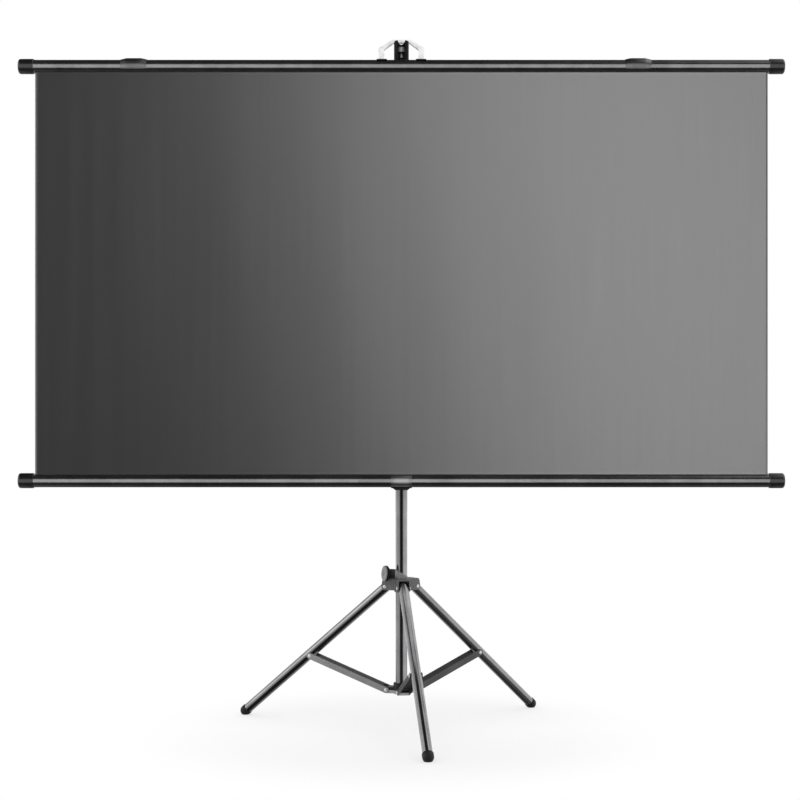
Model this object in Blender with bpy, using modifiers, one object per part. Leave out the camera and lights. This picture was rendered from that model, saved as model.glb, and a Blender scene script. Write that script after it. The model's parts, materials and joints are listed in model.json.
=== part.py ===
"""Portable projection screen on a folding tripod, modelled in metres, +Z up, front towards -Y.

A steel column stands on a tripod whose legs fold against it. A clamp collar carries the three
legs and slides on the column, and a hub at the foot of the column carries the three struts.
A mast tube turns on the column's neck and holds the lower bar in a cradle. An inner mast
telescopes out of it and carries the upper bar by a bail. The fabric hangs between both bars.
"""
import math

import bmesh
import bpy
from mathutils import Euler, Matrix, Vector

OBJECT_NAME = "projection_screen"

# Clearance between touching pieces
GAP = 0.0003

# Screen fabric and the beads along its two edges
FABRIC_WIDTH = 1.860
FABRIC_THICKNESS = 0.0005
BEAD_RADIUS = 0.0025

# Upper and lower bar, slotted for the fabric
TOP_BAR_HEIGHT = 1.6838
BOTTOM_BAR_HEIGHT = 0.6305
BAR_RADIUS = 0.0170
BAR_WALL = 0.0016
BAR_FORWARD = 0.0360
FABRIC_FORWARD = 0.0082
SLOT_WIDTH = 0.0024

# Plastic caps on the bar ends
CAP_LENGTH = 0.0390
CAP_SKIN = 0.0020
CAP_END_WALL = 0.0045
CAP_ROUNDING = 0.0060
CAP_TO_FABRIC = 0.0046

# Column, mast tube and inner mast
COLUMN_RADIUS = 0.0151
COLUMN_WALL = 0.0015
SHOULDER_HEIGHT = 0.5494
NECK_LENGTH = 0.0700
NECK_WALL = 0.0012
MAST_RADIUS = 0.0155
MAST_WALL = 0.0015
MAST_TOP_HEIGHT = 0.9300
INNER_MAST_RADIUS = 0.0120
INNER_MAST_WALL = 0.0012
INNER_MAST_OVERLAP = 0.1200

# Tripod
TRIPOD_YAW = math.radians(7.9)
LEG_NAMES = ("front", "right", "left")
LEG_RADIUS = 0.0127
LEG_WALL = 0.0015
LEG_SPREAD = math.radians(49.58)
LEG_PIVOT_RADIUS = 0.0400
LEG_PIVOT_HEIGHT = 0.3570
LEG_OVERHANG = 0.0090
PIN_RADIUS = 0.0030
PIN_HEAD_RADIUS = 0.0046
PIN_HEAD_HEIGHT = 0.0018

# Rubber feet, cut flat where they stand
FOOT_SKIN = 0.0012
FOOT_SLEEVE = 0.0070
FOOT_TIP_HEIGHT = 0.0105

# Struts, folded from sheet steel
STRUT_PIN_DISTANCE = 0.2846
STRUT_PIN_DROP = 0.0060
STRUT_HUB_RADIUS = 0.0367
STRUT_HUB_HEIGHT = 0.0921
STRUT_WIDTH = 0.0314
STRUT_WALL = 0.0018
STRUT_DEPTH = 0.0165
STRUT_BEND = 0.0030
WEB_SETBACK_LEG = 0.0240
WEB_SETBACK_HUB = 0.0130

# Foot hub under the column
HUB_RADIUS = 0.0205
HUB_TOP_HEIGHT = 0.1112
HUB_FLOOR = 0.0030

# Clamp collar that slides on the column
COLLAR_WALL = 0.0025
COLLAR_DROP = 0.0134
COLLAR_RISE = 0.0215
ARM_WALL = 0.0030
ARM_CLEARANCE = 0.0008
ARM_NOSE = 0.0088
ARM_SHOULDER = 0.0066
ARM_ROUNDING = 0.0075
CLAMP_HIGH = 0.0219
CLAMP_LOW = 0.0020
KNOB_AZIMUTH = math.radians(-69.0)
KNOB_TILT = math.radians(4.5)
KNOB_AXIS_HEIGHT = 0.0103
BOSS_RADIUS = 0.0124
BOSS_REACH = 0.0330

# Clamping knobs
KNOB_RADIUS = 0.0202
KNOB_NECK_RADIUS = 0.0130
KNOB_CONE = 0.0060
KNOB_RIM = 0.0064
KNOB_FLUTES = 14
KNOB_FLUTE_DEPTH = 0.0012
KNOB_FACE_THICKNESS = 0.0024
KNOB_FACE_HOLE = 0.0022
STUD_RADIUS = 0.0037

# Cradle of the lower bar
SLEEVE_RADIUS = 0.0186
SLEEVE_DROP = 0.0245
SLEEVE_RISE = 0.0335
CRADLE_WIDTH = 0.0530
CRADLE_SKIN = 0.0034
CRADLE_EDGE_SKIN = 0.0018
CRADLE_LIP_RISE = 0.0130
CRADLE_KEEL_WIDTH = 0.0320
CRADLE_KEEL_TOP = 0.0150

# Clamp at the top of the mast tube
MAST_CLAMP_RADIUS = 0.0195
MAST_CLAMP_HEIGHT = 0.0500
BUSH_HEIGHT = 0.0500
BUSH_FLANGE = 0.0030

# Mast head
HEAD_RADIUS = 0.0190
HEAD_LOWER_RADIUS = 0.01725
HEAD_SOCKET_DEPTH = 0.1005
HEAD_HEIGHT = 0.1160
HEAD_FLARE_RADIUS = 0.0225
HEAD_NOTCH_DEPTH = 0.0130
HEAD_NOTCH_WIDTH = 0.0200
HEAD_WINDOW = (0.0192, 0.0140)
HEAD_PEEPHOLE = (0.0090, 0.0128)
HEAD_ABOVE_BAR = 0.0722

# Carrying bail and its brackets
BAIL_PIVOT_BACK = 0.0110
BAIL_PIVOT_UP = 0.0175
BAIL_LEAN = math.radians(38.5)
BAIL_SPREAD = 0.0500
BAIL_FOOT_WIDTH = 0.0140
BAIL_THICKNESS = 0.0050
BAIL_REACH = 0.0786
BAIL_GRIP_WIDTH = 0.0116
BAIL_SHOULDER_REACH = 0.0460
BAIL_SHOULDER_SPREAD = 0.0590
BAIL_GRIP_HALF = 0.0225
BRACKET_WIDTH = 0.0260
BRACKET_SKIN = 0.0023
BRACKET_EYE = 0.0036
BAIL_PIN_RADIUS = 0.0015

# Hanging clips that slide on the upper bar
CLIP_LEFT_X = -0.6800
CLIP_RIGHT_X = 0.6010
CLIP_LENGTH = 0.0660
CLIP_SKIN = 0.0040
CLIP_CHAMFER = 0.0035
CLIP_TAB = (0.0240, 0.0030, 0.0300)
CLIP_TAB_HOLE = 0.0045

# Facets round a turned piece
ROUND_STEPS = 32
SMALL_STEPS = 20
WELD_DISTANCE = 0.00001

# Sizes that follow from the ones above
FABRIC_Y = -(BAR_FORWARD + FABRIC_FORWARD)
BAR_BORE = BAR_RADIUS - BAR_WALL
HALF_WIDTH = FABRIC_WIDTH / 2 + CAP_TO_FABRIC + CAP_LENGTH
BAR_HALF_LENGTH = HALF_WIDTH - CAP_END_WALL - GAP
MAST_BORE = MAST_RADIUS - MAST_WALL
NECK_RADIUS = MAST_BORE - GAP
COLLAR_BORE = MAST_RADIUS + GAP
COLLAR_BOTTOM_HEIGHT = LEG_PIVOT_HEIGHT - COLLAR_DROP
COLLAR_SEAM_HEIGHT = LEG_PIVOT_HEIGHT + COLLAR_RISE
COLLAR_RADIUS = COLLAR_BORE + COLLAR_WALL
STRUT_INSIDE = STRUT_WIDTH - 2 * STRUT_WALL
ARM_INSIDE = 2 * (LEG_RADIUS + ARM_CLEARANCE)
ARM_WIDTH = ARM_INSIDE + 2 * ARM_WALL
FOOT_RADIUS = LEG_RADIUS + GAP + FOOT_SKIN
LEG_LENGTH = (LEG_PIVOT_HEIGHT - FOOT_TIP_HEIGHT) / math.cos(LEG_SPREAD)
HEAD_TOP_HEIGHT = TOP_BAR_HEIGHT + HEAD_ABOVE_BAR
HEAD_BOTTOM_HEIGHT = HEAD_TOP_HEIGHT - HEAD_HEIGHT
SOCKET_TOP_HEIGHT = HEAD_BOTTOM_HEIGHT + HEAD_SOCKET_DEPTH
INNER_MAST_FOOT_HEIGHT = MAST_TOP_HEIGHT - INNER_MAST_OVERLAP

COLOURS = {
    "tube_lacquer": ((0.045, 0.046, 0.050), 0.30, 0.85),
    "bar_lacquer": ((0.050, 0.050, 0.054), 0.36, 0.80),
    "black_plastic": ((0.012, 0.012, 0.014), 0.45, 0.0),
    "grey_plastic": ((0.105, 0.105, 0.110), 0.50, 0.0),
    "light_plastic": ((0.48, 0.48, 0.50), 0.45, 0.0),
    "strut_steel": ((0.10, 0.10, 0.105), 0.40, 0.70),
    "bright_steel": ((0.72, 0.72, 0.74), 0.22, 1.0),
    "aluminium": ((0.50, 0.50, 0.51), 0.35, 0.90),
    "rubber": ((0.016, 0.016, 0.017), 0.70, 0.0),
    "screen_fabric": ((0.17, 0.17, 0.18), 0.55, 0.30),
    "bead_plastic": ((0.55, 0.55, 0.55), 0.50, 0.0),
    "nylon": ((0.30, 0.30, 0.31), 0.50, 0.0),
    "bail_white": ((0.82, 0.82, 0.84), 0.25, 0.40),
}


def clear_scene():
    """Remove every object, so that the model starts from an empty scene."""
    for item in list(bpy.data.objects):
        bpy.data.objects.remove(item, do_unlink=True)


def new_collection(name):
    """Return a new collection under the scene's own."""
    collection = bpy.data.collections.new(name)
    bpy.context.scene.collection.children.link(collection)
    return collection


def make_materials():
    """Return one Principled material for each finish."""
    made = {}
    for name, (colour, roughness, metallic) in COLOURS.items():
        material = bpy.data.materials.new(name)
        material.use_nodes = True
        shader = material.node_tree.nodes["Principled BSDF"]
        shader.inputs["Base Color"].default_value = (*colour, 1.0)
        shader.inputs["Roughness"].default_value = roughness
        shader.inputs["Metallic"].default_value = metallic
        material.diffuse_color = (*colour, 1.0)
        made[name] = material
    return made


def new_empty(name, parent=None, location=(0, 0, 0), rotation=(0, 0, 0)):
    """Return an empty that marks a frame or a joint axis."""
    empty = bpy.data.objects.new(name, None)
    empty.empty_display_size = 0.02
    PARTS.objects.link(empty)
    empty.parent = parent
    empty.location = location
    empty.rotation_euler = rotation
    return empty


def finish(item, parent, material, location=(0, 0, 0), rotation=(0, 0, 0)):
    """Put a piece in the parts collection, on its parent, with its material and smooth shading."""
    PARTS.objects.link(item)
    item.parent = parent
    item.location = location
    item.rotation_euler = rotation
    item.data.materials.clear()
    item.data.materials.append(MATERIALS[material])
    item.data.shade_smooth()
    item.data.set_sharp_from_angle(angle=math.radians(32))
    return item


def as_tool(item, parent, location=(0, 0, 0), rotation=(0, 0, 0)):
    """Put a cutter or a joined form in the tools collection, hidden from renders."""
    TOOLS.objects.link(item)
    item.parent = parent
    item.location = location
    item.rotation_euler = rotation
    item.hide_render = True
    item.display_type = "WIRE"
    return item


def combine(item, tool, operation="DIFFERENCE"):
    """Cut a piece with a tool, or join or intersect them."""
    modifier = item.modifiers.new(tool.name, "BOOLEAN")
    modifier.operation = operation
    modifier.solver = "EXACT"
    modifier.object = tool
    return item


def turned(name, profile, steps=ROUND_STEPS):
    """Return a piece turned round local Z from (radius, height) points that run down its outer side.

    A profile whose ends lie on the axis stays open there, and any other is closed into a ring.
    """
    mesh = bpy.data.meshes.new(name)
    points = [(radius, 0.0, height) for radius, height in profile]
    edges = [(index, index + 1) for index in range(len(points) - 1)]
    on_axis = profile[0][0] < 1e-9 and profile[-1][0] < 1e-9
    if not on_axis:
        edges.append((len(points) - 1, 0))
    mesh.from_pydata(points, edges, [])
    item = bpy.data.objects.new(name, mesh)
    screw = item.modifiers.new("turn", "SCREW")
    screw.axis = "Z"
    screw.angle = math.tau
    screw.steps = steps
    screw.render_steps = steps
    screw.use_merge_vertices = True
    screw.merge_threshold = 0.00001
    screw.use_smooth_shade = True
    return item


def tube(name, outer, inner, low, high, steps=ROUND_STEPS):
    """Return a plain tube round local Z."""
    return turned(name, [(outer, high), (outer, low), (inner, low), (inner, high)], steps)


def rod(name, radius, low, high, steps=SMALL_STEPS):
    """Return a solid round bar along local Z."""
    mesh = bpy.data.meshes.new(name)
    shape = bmesh.new()
    matrix = Matrix.Translation((0, 0, (low + high) / 2)) @ Matrix.Rotation(math.pi / steps, 4, "Z")
    bmesh.ops.create_cone(shape, cap_ends=True, segments=steps, radius1=radius, radius2=radius,
                          depth=high - low, matrix=matrix)
    shape.to_mesh(mesh)
    shape.free()
    return bpy.data.objects.new(name, mesh)


def block(name, low, high):
    """Return a box between two corners."""
    mesh = bpy.data.meshes.new(name)
    shape = bmesh.new()
    low, high = Vector(low), Vector(high)
    size = high - low
    matrix = Matrix.Translation((low + high) / 2) @ Matrix.Diagonal((*size, 1.0))
    bmesh.ops.create_cube(shape, size=1.0, matrix=matrix)
    shape.to_mesh(mesh)
    shape.free()
    return bpy.data.objects.new(name, mesh)


def outlined(name, outline, thickness):
    """Return a flat outline in local XY, made a solid of this thickness centred on local Z = 0."""
    curve = bpy.data.curves.new(name, "CURVE")
    curve.dimensions = "2D"
    curve.fill_mode = "BOTH"
    curve.extrude = thickness / 2
    spline = curve.splines.new("POLY")
    spline.points.add(len(outline) - 1)
    for point, (across, up) in zip(spline.points, outline):
        point.co = (across, up, 0.0, 1.0)
    spline.use_cyclic_u = True
    source = bpy.data.objects.new(name, curve)
    bpy.context.scene.collection.objects.link(source)
    bpy.context.view_layer.update()
    graph = bpy.context.evaluated_depsgraph_get()
    mesh = bpy.data.meshes.new_from_object(source.evaluated_get(graph))
    bpy.data.objects.remove(source, do_unlink=True)
    shape = bmesh.new()
    shape.from_mesh(mesh)
    bmesh.ops.remove_doubles(shape, verts=shape.verts, dist=0.00001)
    bmesh.ops.recalc_face_normals(shape, faces=shape.faces)
    shape.to_mesh(mesh)
    shape.free()
    mesh.name = name
    return bpy.data.objects.new(name, mesh)


def arc(centre, radius, start, end, steps):
    """Return points on an arc, with angles in degrees from local +X."""
    points = []
    for index in range(steps + 1):
        angle = math.radians(start + (end - start) * index / steps)
        points.append((centre[0] + radius * math.cos(angle), centre[1] + radius * math.sin(angle)))
    return points


def rounded(corners, steps=5):
    """Return an outline whose (x, y, radius) corners are rounded."""
    points = []
    count = len(corners)
    for index, (x, y, radius) in enumerate(corners):
        here = Vector((x, y))
        if radius <= 0:
            points.append((x, y))
            continue
        before = Vector(corners[index - 1][:2])
        after = Vector(corners[(index + 1) % count][:2])
        inward = (before - here).normalized()
        outward = (after - here).normalized()
        half = inward.angle(outward) / 2
        centre = here + (inward + outward).normalized() * (radius / math.sin(half))
        first = here + inward * (radius / math.tan(half)) - centre
        last = here + outward * (radius / math.tan(half)) - centre
        sweep = first.angle_signed(last)
        for step in range(steps + 1):
            turn = -sweep * step / steps
            cosine, sine = math.cos(turn), math.sin(turn)
            points.append((centre.x + first.x * cosine - first.y * sine,
                           centre.y + first.x * sine + first.y * cosine))
    return points


# Turns that lay a piece made round local Z along another axis, or stand an outline up
ALONG_X = (0.0, math.pi / 2, 0.0)
ALONG_Y = (-math.pi / 2, 0.0, 0.0)
UPRIGHT_ALONG_X = (math.pi / 2, 0.0, 0.0)
UPRIGHT_ALONG_Y = (math.pi / 2, 0.0, math.pi / 2)


def leg_azimuths():
    """Return each leg's turn round +Z from +X, with the front leg first."""
    step = math.tau / len(LEG_NAMES)
    return {name: TRIPOD_YAW - math.pi / 2 + step * index for index, name in enumerate(LEG_NAMES)}


def strut_line():
    """Return a strut's pin distance and its rise over the horizontal, from the leg it meets."""
    along = Vector((math.sin(LEG_SPREAD), -math.cos(LEG_SPREAD)))
    under = Vector((-math.cos(LEG_SPREAD), -math.sin(LEG_SPREAD)))
    pin = Vector((LEG_PIVOT_RADIUS, LEG_PIVOT_HEIGHT))
    pin += along * STRUT_PIN_DISTANCE + under * STRUT_PIN_DROP
    reach = pin - Vector((STRUT_HUB_RADIUS, STRUT_HUB_HEIGHT))
    return reach.length, math.atan2(reach.y, reach.x)


def rivet(name, half_length, parent, location=(0, 0, 0), rotation=ALONG_Y):
    """Make a through rivet with a domed head at each end."""
    half_length += GAP
    dome = [(PIN_HEAD_RADIUS * math.cos(angle), PIN_HEAD_HEIGHT * math.sin(angle))
            for angle in (math.pi / 2, math.pi / 3.4, math.pi / 8, 0.0)]
    upper = [(radius, half_length + rise) for radius, rise in dome]
    upper[0] = (0.0, half_length + PIN_HEAD_HEIGHT)
    profile = upper + [(PIN_RADIUS, half_length), (PIN_RADIUS, -half_length)]
    profile += [(radius, -height) for radius, height in reversed(upper)]
    return finish(turned(name, profile, SMALL_STEPS), parent, "bright_steel", location, rotation)


def stub_rivet(name, inner, outer, side, parent, location):
    """Make a rivet that holds in one cheek of a strut only."""
    outer += GAP
    profile = [(0.0, outer + PIN_HEAD_HEIGHT), (PIN_HEAD_RADIUS * 0.6, outer + PIN_HEAD_HEIGHT * 0.8),
               (PIN_HEAD_RADIUS * 0.92, outer + PIN_HEAD_HEIGHT * 0.4), (PIN_HEAD_RADIUS, outer),
               (PIN_RADIUS, outer), (PIN_RADIUS, inner), (0.0, inner)]
    rotation = ALONG_Y if side > 0 else (math.pi / 2, 0.0, 0.0)
    return finish(turned(name, profile, SMALL_STEPS), parent, "bright_steel", location, rotation)


def make_knob(prefix, parent, stud_start, knob_start):
    """Make a clamping knob on local Z: a fluted body, its light face and its threaded stud."""
    rim_start = KNOB_CONE
    front = KNOB_CONE + KNOB_RIM
    bore_end = front - 0.0035
    inner_rim = KNOB_RADIUS - 2 * KNOB_FLUTE_DEPTH
    body = turned(prefix, [
        (0.0, front), (inner_rim, front), (inner_rim, rim_start + 0.0004), (KNOB_NECK_RADIUS, 0.0),
        (0.0, 0.0)])
    finish(body, parent, "black_plastic", (0, 0, knob_start))
    flutes = []
    count = KNOB_FLUTES * 6
    for index in range(count):
        angle = math.tau * index / count
        dip = KNOB_FLUTE_DEPTH * (0.5 - 0.5 * math.cos(KNOB_FLUTES * angle)) ** 2
        flutes.append(((KNOB_RADIUS - dip) * math.cos(angle), (KNOB_RADIUS - dip) * math.sin(angle)))
    rim = as_tool(outlined(prefix + "_rim_form", flutes, KNOB_RIM - 0.0016), parent,
                  (0, 0, knob_start + (rim_start + front) / 2))
    combine(body, rim, "UNION")
    hole = rod(prefix + "_bore", STUD_RADIUS + GAP, -0.01, bore_end)
    combine(body, as_tool(hole, parent, (0, 0, knob_start)))
    face_radius = KNOB_RADIUS - 0.0003
    low = front + GAP
    high = low + KNOB_FACE_THICKNESS
    face = turned(prefix + "_face", [
        (KNOB_FACE_HOLE, high - 0.0008), (0.0060, high - 0.0008), (0.0072, high - 0.0002),
        (face_radius - 0.0030, high), (face_radius - 0.0010, high - 0.0004),
        (face_radius, high - 0.0012), (face_radius, low), (KNOB_FACE_HOLE, low)])
    finish(face, parent, "light_plastic", (0, 0, knob_start))
    stud = rod(prefix + "_stud", STUD_RADIUS, stud_start, knob_start + bore_end - GAP)
    finish(stud, parent, "bright_steel")


def make_legs(collar):
    """Make the three legs on the collar, each with its pin, tube and rubber foot."""
    for name, azimuth in leg_azimuths().items():
        plane = new_empty("collar_plane_" + name, collar, rotation=(0, 0, azimuth))
        spot = (LEG_PIVOT_RADIUS, 0, LEG_PIVOT_HEIGHT)
        rivet("leg_pin_" + name, ARM_WIDTH / 2, plane, spot)
        pivot = new_empty("leg_pivot_" + name, plane, spot, (0, -LEG_SPREAD, 0))
        tube_end = -LEG_LENGTH + 0.0023
        leg = tube("leg_tube_" + name, LEG_RADIUS, LEG_RADIUS - LEG_WALL, tube_end, LEG_OVERHANG, 28)
        finish(leg, pivot, "tube_lacquer")
        hole = rod("pin_hole_" + name, PIN_RADIUS + GAP, -0.03, 0.03)
        combine(leg, as_tool(hole, pivot, rotation=ALONG_Y))
        strut_hole = rod("strut_hole_" + name, PIN_RADIUS + GAP, -0.03, 0.03)
        at_strut = (-STRUT_PIN_DROP, 0, -STRUT_PIN_DISTANCE)
        combine(leg, as_tool(strut_hole, pivot, at_strut, ALONG_Y))
        make_foot("foot_" + name, pivot, tube_end)


def make_foot(name, pivot, tube_end):
    """Make a rubber foot: a sleeve over the leg with a round end, cut flat at the floor."""
    ball = -LEG_LENGTH
    inside = LEG_RADIUS + GAP
    top = tube_end + FOOT_SLEEVE
    profile = [(0.0, tube_end - GAP), (inside, tube_end - GAP), (inside, top),
               (FOOT_RADIUS - 0.0006, top), (FOOT_RADIUS, top - 0.0012)]
    for step in range(8):
        angle = math.radians(90 * step / 7)
        profile.append((FOOT_RADIUS * math.cos(angle), ball - FOOT_RADIUS * math.sin(angle)))
    profile[-1] = (0.0, ball - FOOT_RADIUS)
    foot = finish(turned(name, profile, 28), pivot, "rubber")
    combine(foot, FLOOR_TOOL)


def make_struts(stand):
    """Make the three folded struts between the foot hub and the legs."""
    length, rise = strut_line()
    for name, azimuth in leg_azimuths().items():
        plane = new_empty("hub_plane_" + name, stand, rotation=(0, 0, azimuth))
        spot = (STRUT_HUB_RADIUS, 0, STRUT_HUB_HEIGHT)
        rivet("hub_rivet_" + name, STRUT_WIDTH / 2, plane, spot)
        pivot = new_empty("strut_pivot_" + name, plane, spot, (0, -rise, 0))
        make_strut("strut_" + name, pivot, length)
        for label, side in (("left", -1), ("right", 1)):
            stub_rivet("strut_rivet_%s_%s" % (name, label), STRUT_INSIDE / 2 - 0.0006, STRUT_WIDTH / 2,
                       side, pivot, (length, 0, 0))


def make_strut(name, pivot, length):
    """Fold a channel from sheet, round its ends and cut its web back at both pins."""
    half = STRUT_DEPTH / 2
    wide = STRUT_WIDTH / 2
    inside = STRUT_INSIDE / 2
    web = half - STRUT_WALL
    outer = [(-wide, -half), (-wide, half, STRUT_BEND), (wide, half, STRUT_BEND), (wide, -half)]
    inner = [(inside, -half), (inside, web, STRUT_BEND - STRUT_WALL),
             (-inside, web, STRUT_BEND - STRUT_WALL), (-inside, -half)]
    corners = [(*corner, 0.0) if len(corner) == 2 else corner for corner in outer + inner]
    section = rounded(corners, 3)
    channel = outlined(name, section, length + 2 * half + 0.004)
    finish(channel, pivot, "strut_steel", (length / 2, 0, 0), UPRIGHT_ALONG_Y)
    side = arc((length, 0), half, -90, 90, 8) + arc((0, 0), half, 90, 270, 8)
    trim = as_tool(outlined(name + "_trim", side, STRUT_WIDTH + 0.02), pivot, rotation=UPRIGHT_ALONG_X)
    combine(channel, trim, "INTERSECT")
    for label, start, end in (("leg", length - WEB_SETBACK_LEG, length + 0.02),
                              ("hub", -0.02, WEB_SETBACK_HUB)):
        cut = block(name + "_web_cut_" + label, (start, -inside, 0.0), (end, inside, 0.02))
        combine(channel, as_tool(cut, pivot))
    for label, at in (("leg", length), ("hub", 0.0)):
        hole = rod(name + "_hole_" + label, PIN_RADIUS + GAP, -0.03, 0.03)
        combine(channel, as_tool(hole, pivot, (at, 0, 0), ALONG_Y))


def make_foot_hub(stand):
    """Make the hub that closes the column's foot, with a lug for each strut."""
    nose = STRUT_DEPTH / 2
    bottom = STRUT_HUB_HEIGHT - nose - 0.0006
    hub = turned("foot_hub", [
        (0.0, HUB_TOP_HEIGHT), (HUB_RADIUS - 0.0010, HUB_TOP_HEIGHT), (HUB_RADIUS, HUB_TOP_HEIGHT - 0.0010),
        (HUB_RADIUS, bottom + 0.0010), (HUB_RADIUS - 0.0010, bottom), (0.0, bottom)])
    finish(hub, stand, "black_plastic")
    for name, azimuth in leg_azimuths().items():
        side = arc((STRUT_HUB_RADIUS, 0), nose, -90, 90, 10) + [(0.010, nose), (0.010, -nose)]
        lug = outlined("hub_lug_" + name, side, STRUT_INSIDE - 2 * GAP)
        plane = new_empty("lug_plane_" + name, stand, (0, 0, STRUT_HUB_HEIGHT), (0, 0, azimuth))
        combine(hub, as_tool(lug, plane, rotation=UPRIGHT_ALONG_X), "UNION")
        hole = rod("lug_hole_" + name, PIN_RADIUS + GAP, -0.03, 0.03)
        combine(hub, as_tool(hole, plane, (STRUT_HUB_RADIUS, 0, 0), ALONG_Y))
    socket = rod("column_socket", COLUMN_RADIUS + GAP, bottom + HUB_FLOOR, HUB_TOP_HEIGHT + 0.01,
                 ROUND_STEPS)
    combine(hub, as_tool(socket, stand))
    return bottom + HUB_FLOOR + GAP


def make_column(stand, foot_height):
    """Make the column with its drawn-in neck."""
    top = SHOULDER_HEIGHT + NECK_LENGTH
    inside = COLUMN_RADIUS - COLUMN_WALL
    neck_bore = NECK_RADIUS - NECK_WALL
    column = turned("column_tube", [
        (NECK_RADIUS, top), (NECK_RADIUS, SHOULDER_HEIGHT), (COLUMN_RADIUS, SHOULDER_HEIGHT),
        (COLUMN_RADIUS, foot_height), (inside, foot_height), (inside, SHOULDER_HEIGHT - 0.005),
        (neck_bore, SHOULDER_HEIGHT - 0.001), (neck_bore, top)])
    finish(column, stand, "tube_lacquer")


def make_leg_collar(collar):
    """Make the sliding hub with its three hollow arms."""
    hub = turned("leg_collar", [
        (0.0, COLLAR_SEAM_HEIGHT), (COLLAR_RADIUS, COLLAR_SEAM_HEIGHT),
        (COLLAR_RADIUS, COLLAR_BOTTOM_HEIGHT + 0.001), (COLLAR_RADIUS - 0.001, COLLAR_BOTTOM_HEIGHT),
        (0.0, COLLAR_BOTTOM_HEIGHT)])
    finish(hub, collar, "grey_plastic")
    pivot = (LEG_PIVOT_RADIUS, LEG_PIVOT_HEIGHT)
    nose = arc(pivot, ARM_NOSE, 15, -95, 10)
    corner = (LEG_PIVOT_RADIUS + ARM_SHOULDER - ARM_ROUNDING, COLLAR_SEAM_HEIGHT - ARM_ROUNDING)
    side = [(0.008, COLLAR_SEAM_HEIGHT)] + arc(corner, ARM_ROUNDING, 90, 8, 6)
    side += nose + [(0.008, nose[-1][1])]
    for name, azimuth in leg_azimuths().items():
        plane = new_empty("arm_plane_" + name, collar, rotation=(0, 0, azimuth))
        arm = outlined("arm_form_" + name, side, ARM_WIDTH)
        combine(hub, as_tool(arm, plane, rotation=UPRIGHT_ALONG_X), "UNION")
    for name, azimuth in leg_azimuths().items():
        plane = bpy.data.objects["arm_plane_" + name]
        cavity = block("arm_cavity_" + name,
                       (COLLAR_RADIUS + 0.0032, -ARM_INSIDE / 2, COLLAR_BOTTOM_HEIGHT - 0.02),
                       (LEG_PIVOT_RADIUS + 0.03, ARM_INSIDE / 2, COLLAR_SEAM_HEIGHT - ARM_WALL))
        combine(hub, as_tool(cavity, plane))
        hole = rod("arm_hole_" + name, PIN_RADIUS + GAP, -0.03, 0.03)
        combine(hub, as_tool(hole, plane, (LEG_PIVOT_RADIUS, 0, LEG_PIVOT_HEIGHT), ALONG_Y))
    bore = rod("collar_bore", COLLAR_BORE, COLLAR_BOTTOM_HEIGHT - 0.01, COLLAR_SEAM_HEIGHT + 0.01,
               ROUND_STEPS)
    combine(hub, as_tool(bore, collar))


def make_clamp(collar):
    """Make the clamp ring with its sloping top and boss, and the knob that tightens it."""
    low = COLLAR_SEAM_HEIGHT + GAP
    high = COLLAR_SEAM_HEIGHT + CLAMP_HIGH
    side = new_empty("clamp_side", collar, (0, 0, COLLAR_SEAM_HEIGHT), (0, 0, KNOB_AZIMUTH - math.pi / 2))
    ring = rod("clamp_ring", COLLAR_RADIUS, low, high + 0.004, ROUND_STEPS)
    finish(ring, collar, "grey_plastic")
    slope = math.atan2(CLAMP_HIGH - CLAMP_LOW, 2 * COLLAR_RADIUS)
    wedge = block("clamp_slope", (-0.06, -0.04, 0.0), (0.06, 0.04, 0.05))
    combine(ring, as_tool(wedge, side, (0, 0, (CLAMP_HIGH + CLAMP_LOW) / 2), (0, -slope, 0)))
    axis = new_empty("leg_knob_axis", side, (0, 0, KNOB_AXIS_HEIGHT), (0, math.pi / 2 - KNOB_TILT, 0))
    boss = turned("clamp_boss", [
        (0.0, BOSS_REACH), (BOSS_RADIUS - 0.001, BOSS_REACH), (BOSS_RADIUS, BOSS_REACH - 0.001),
        (BOSS_RADIUS, 0.004), (0.0, 0.004)])
    combine(ring, as_tool(boss, axis), "UNION")
    under = block("clamp_under", (-0.06, -0.06, low - 0.03), (0.06, 0.06, low))
    combine(ring, as_tool(under, collar))
    bore = rod("clamp_bore", COLLAR_BORE, low - 0.04, high + 0.04, ROUND_STEPS)
    combine(ring, as_tool(bore, collar))
    hole = rod("clamp_stud_hole", STUD_RADIUS + GAP, 0.0, BOSS_REACH + 0.01)
    combine(ring, as_tool(hole, axis))
    start = (COLLAR_BORE + 0.0004) / math.cos(KNOB_TILT)
    make_knob("leg_knob", axis, start, BOSS_REACH + GAP)


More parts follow.
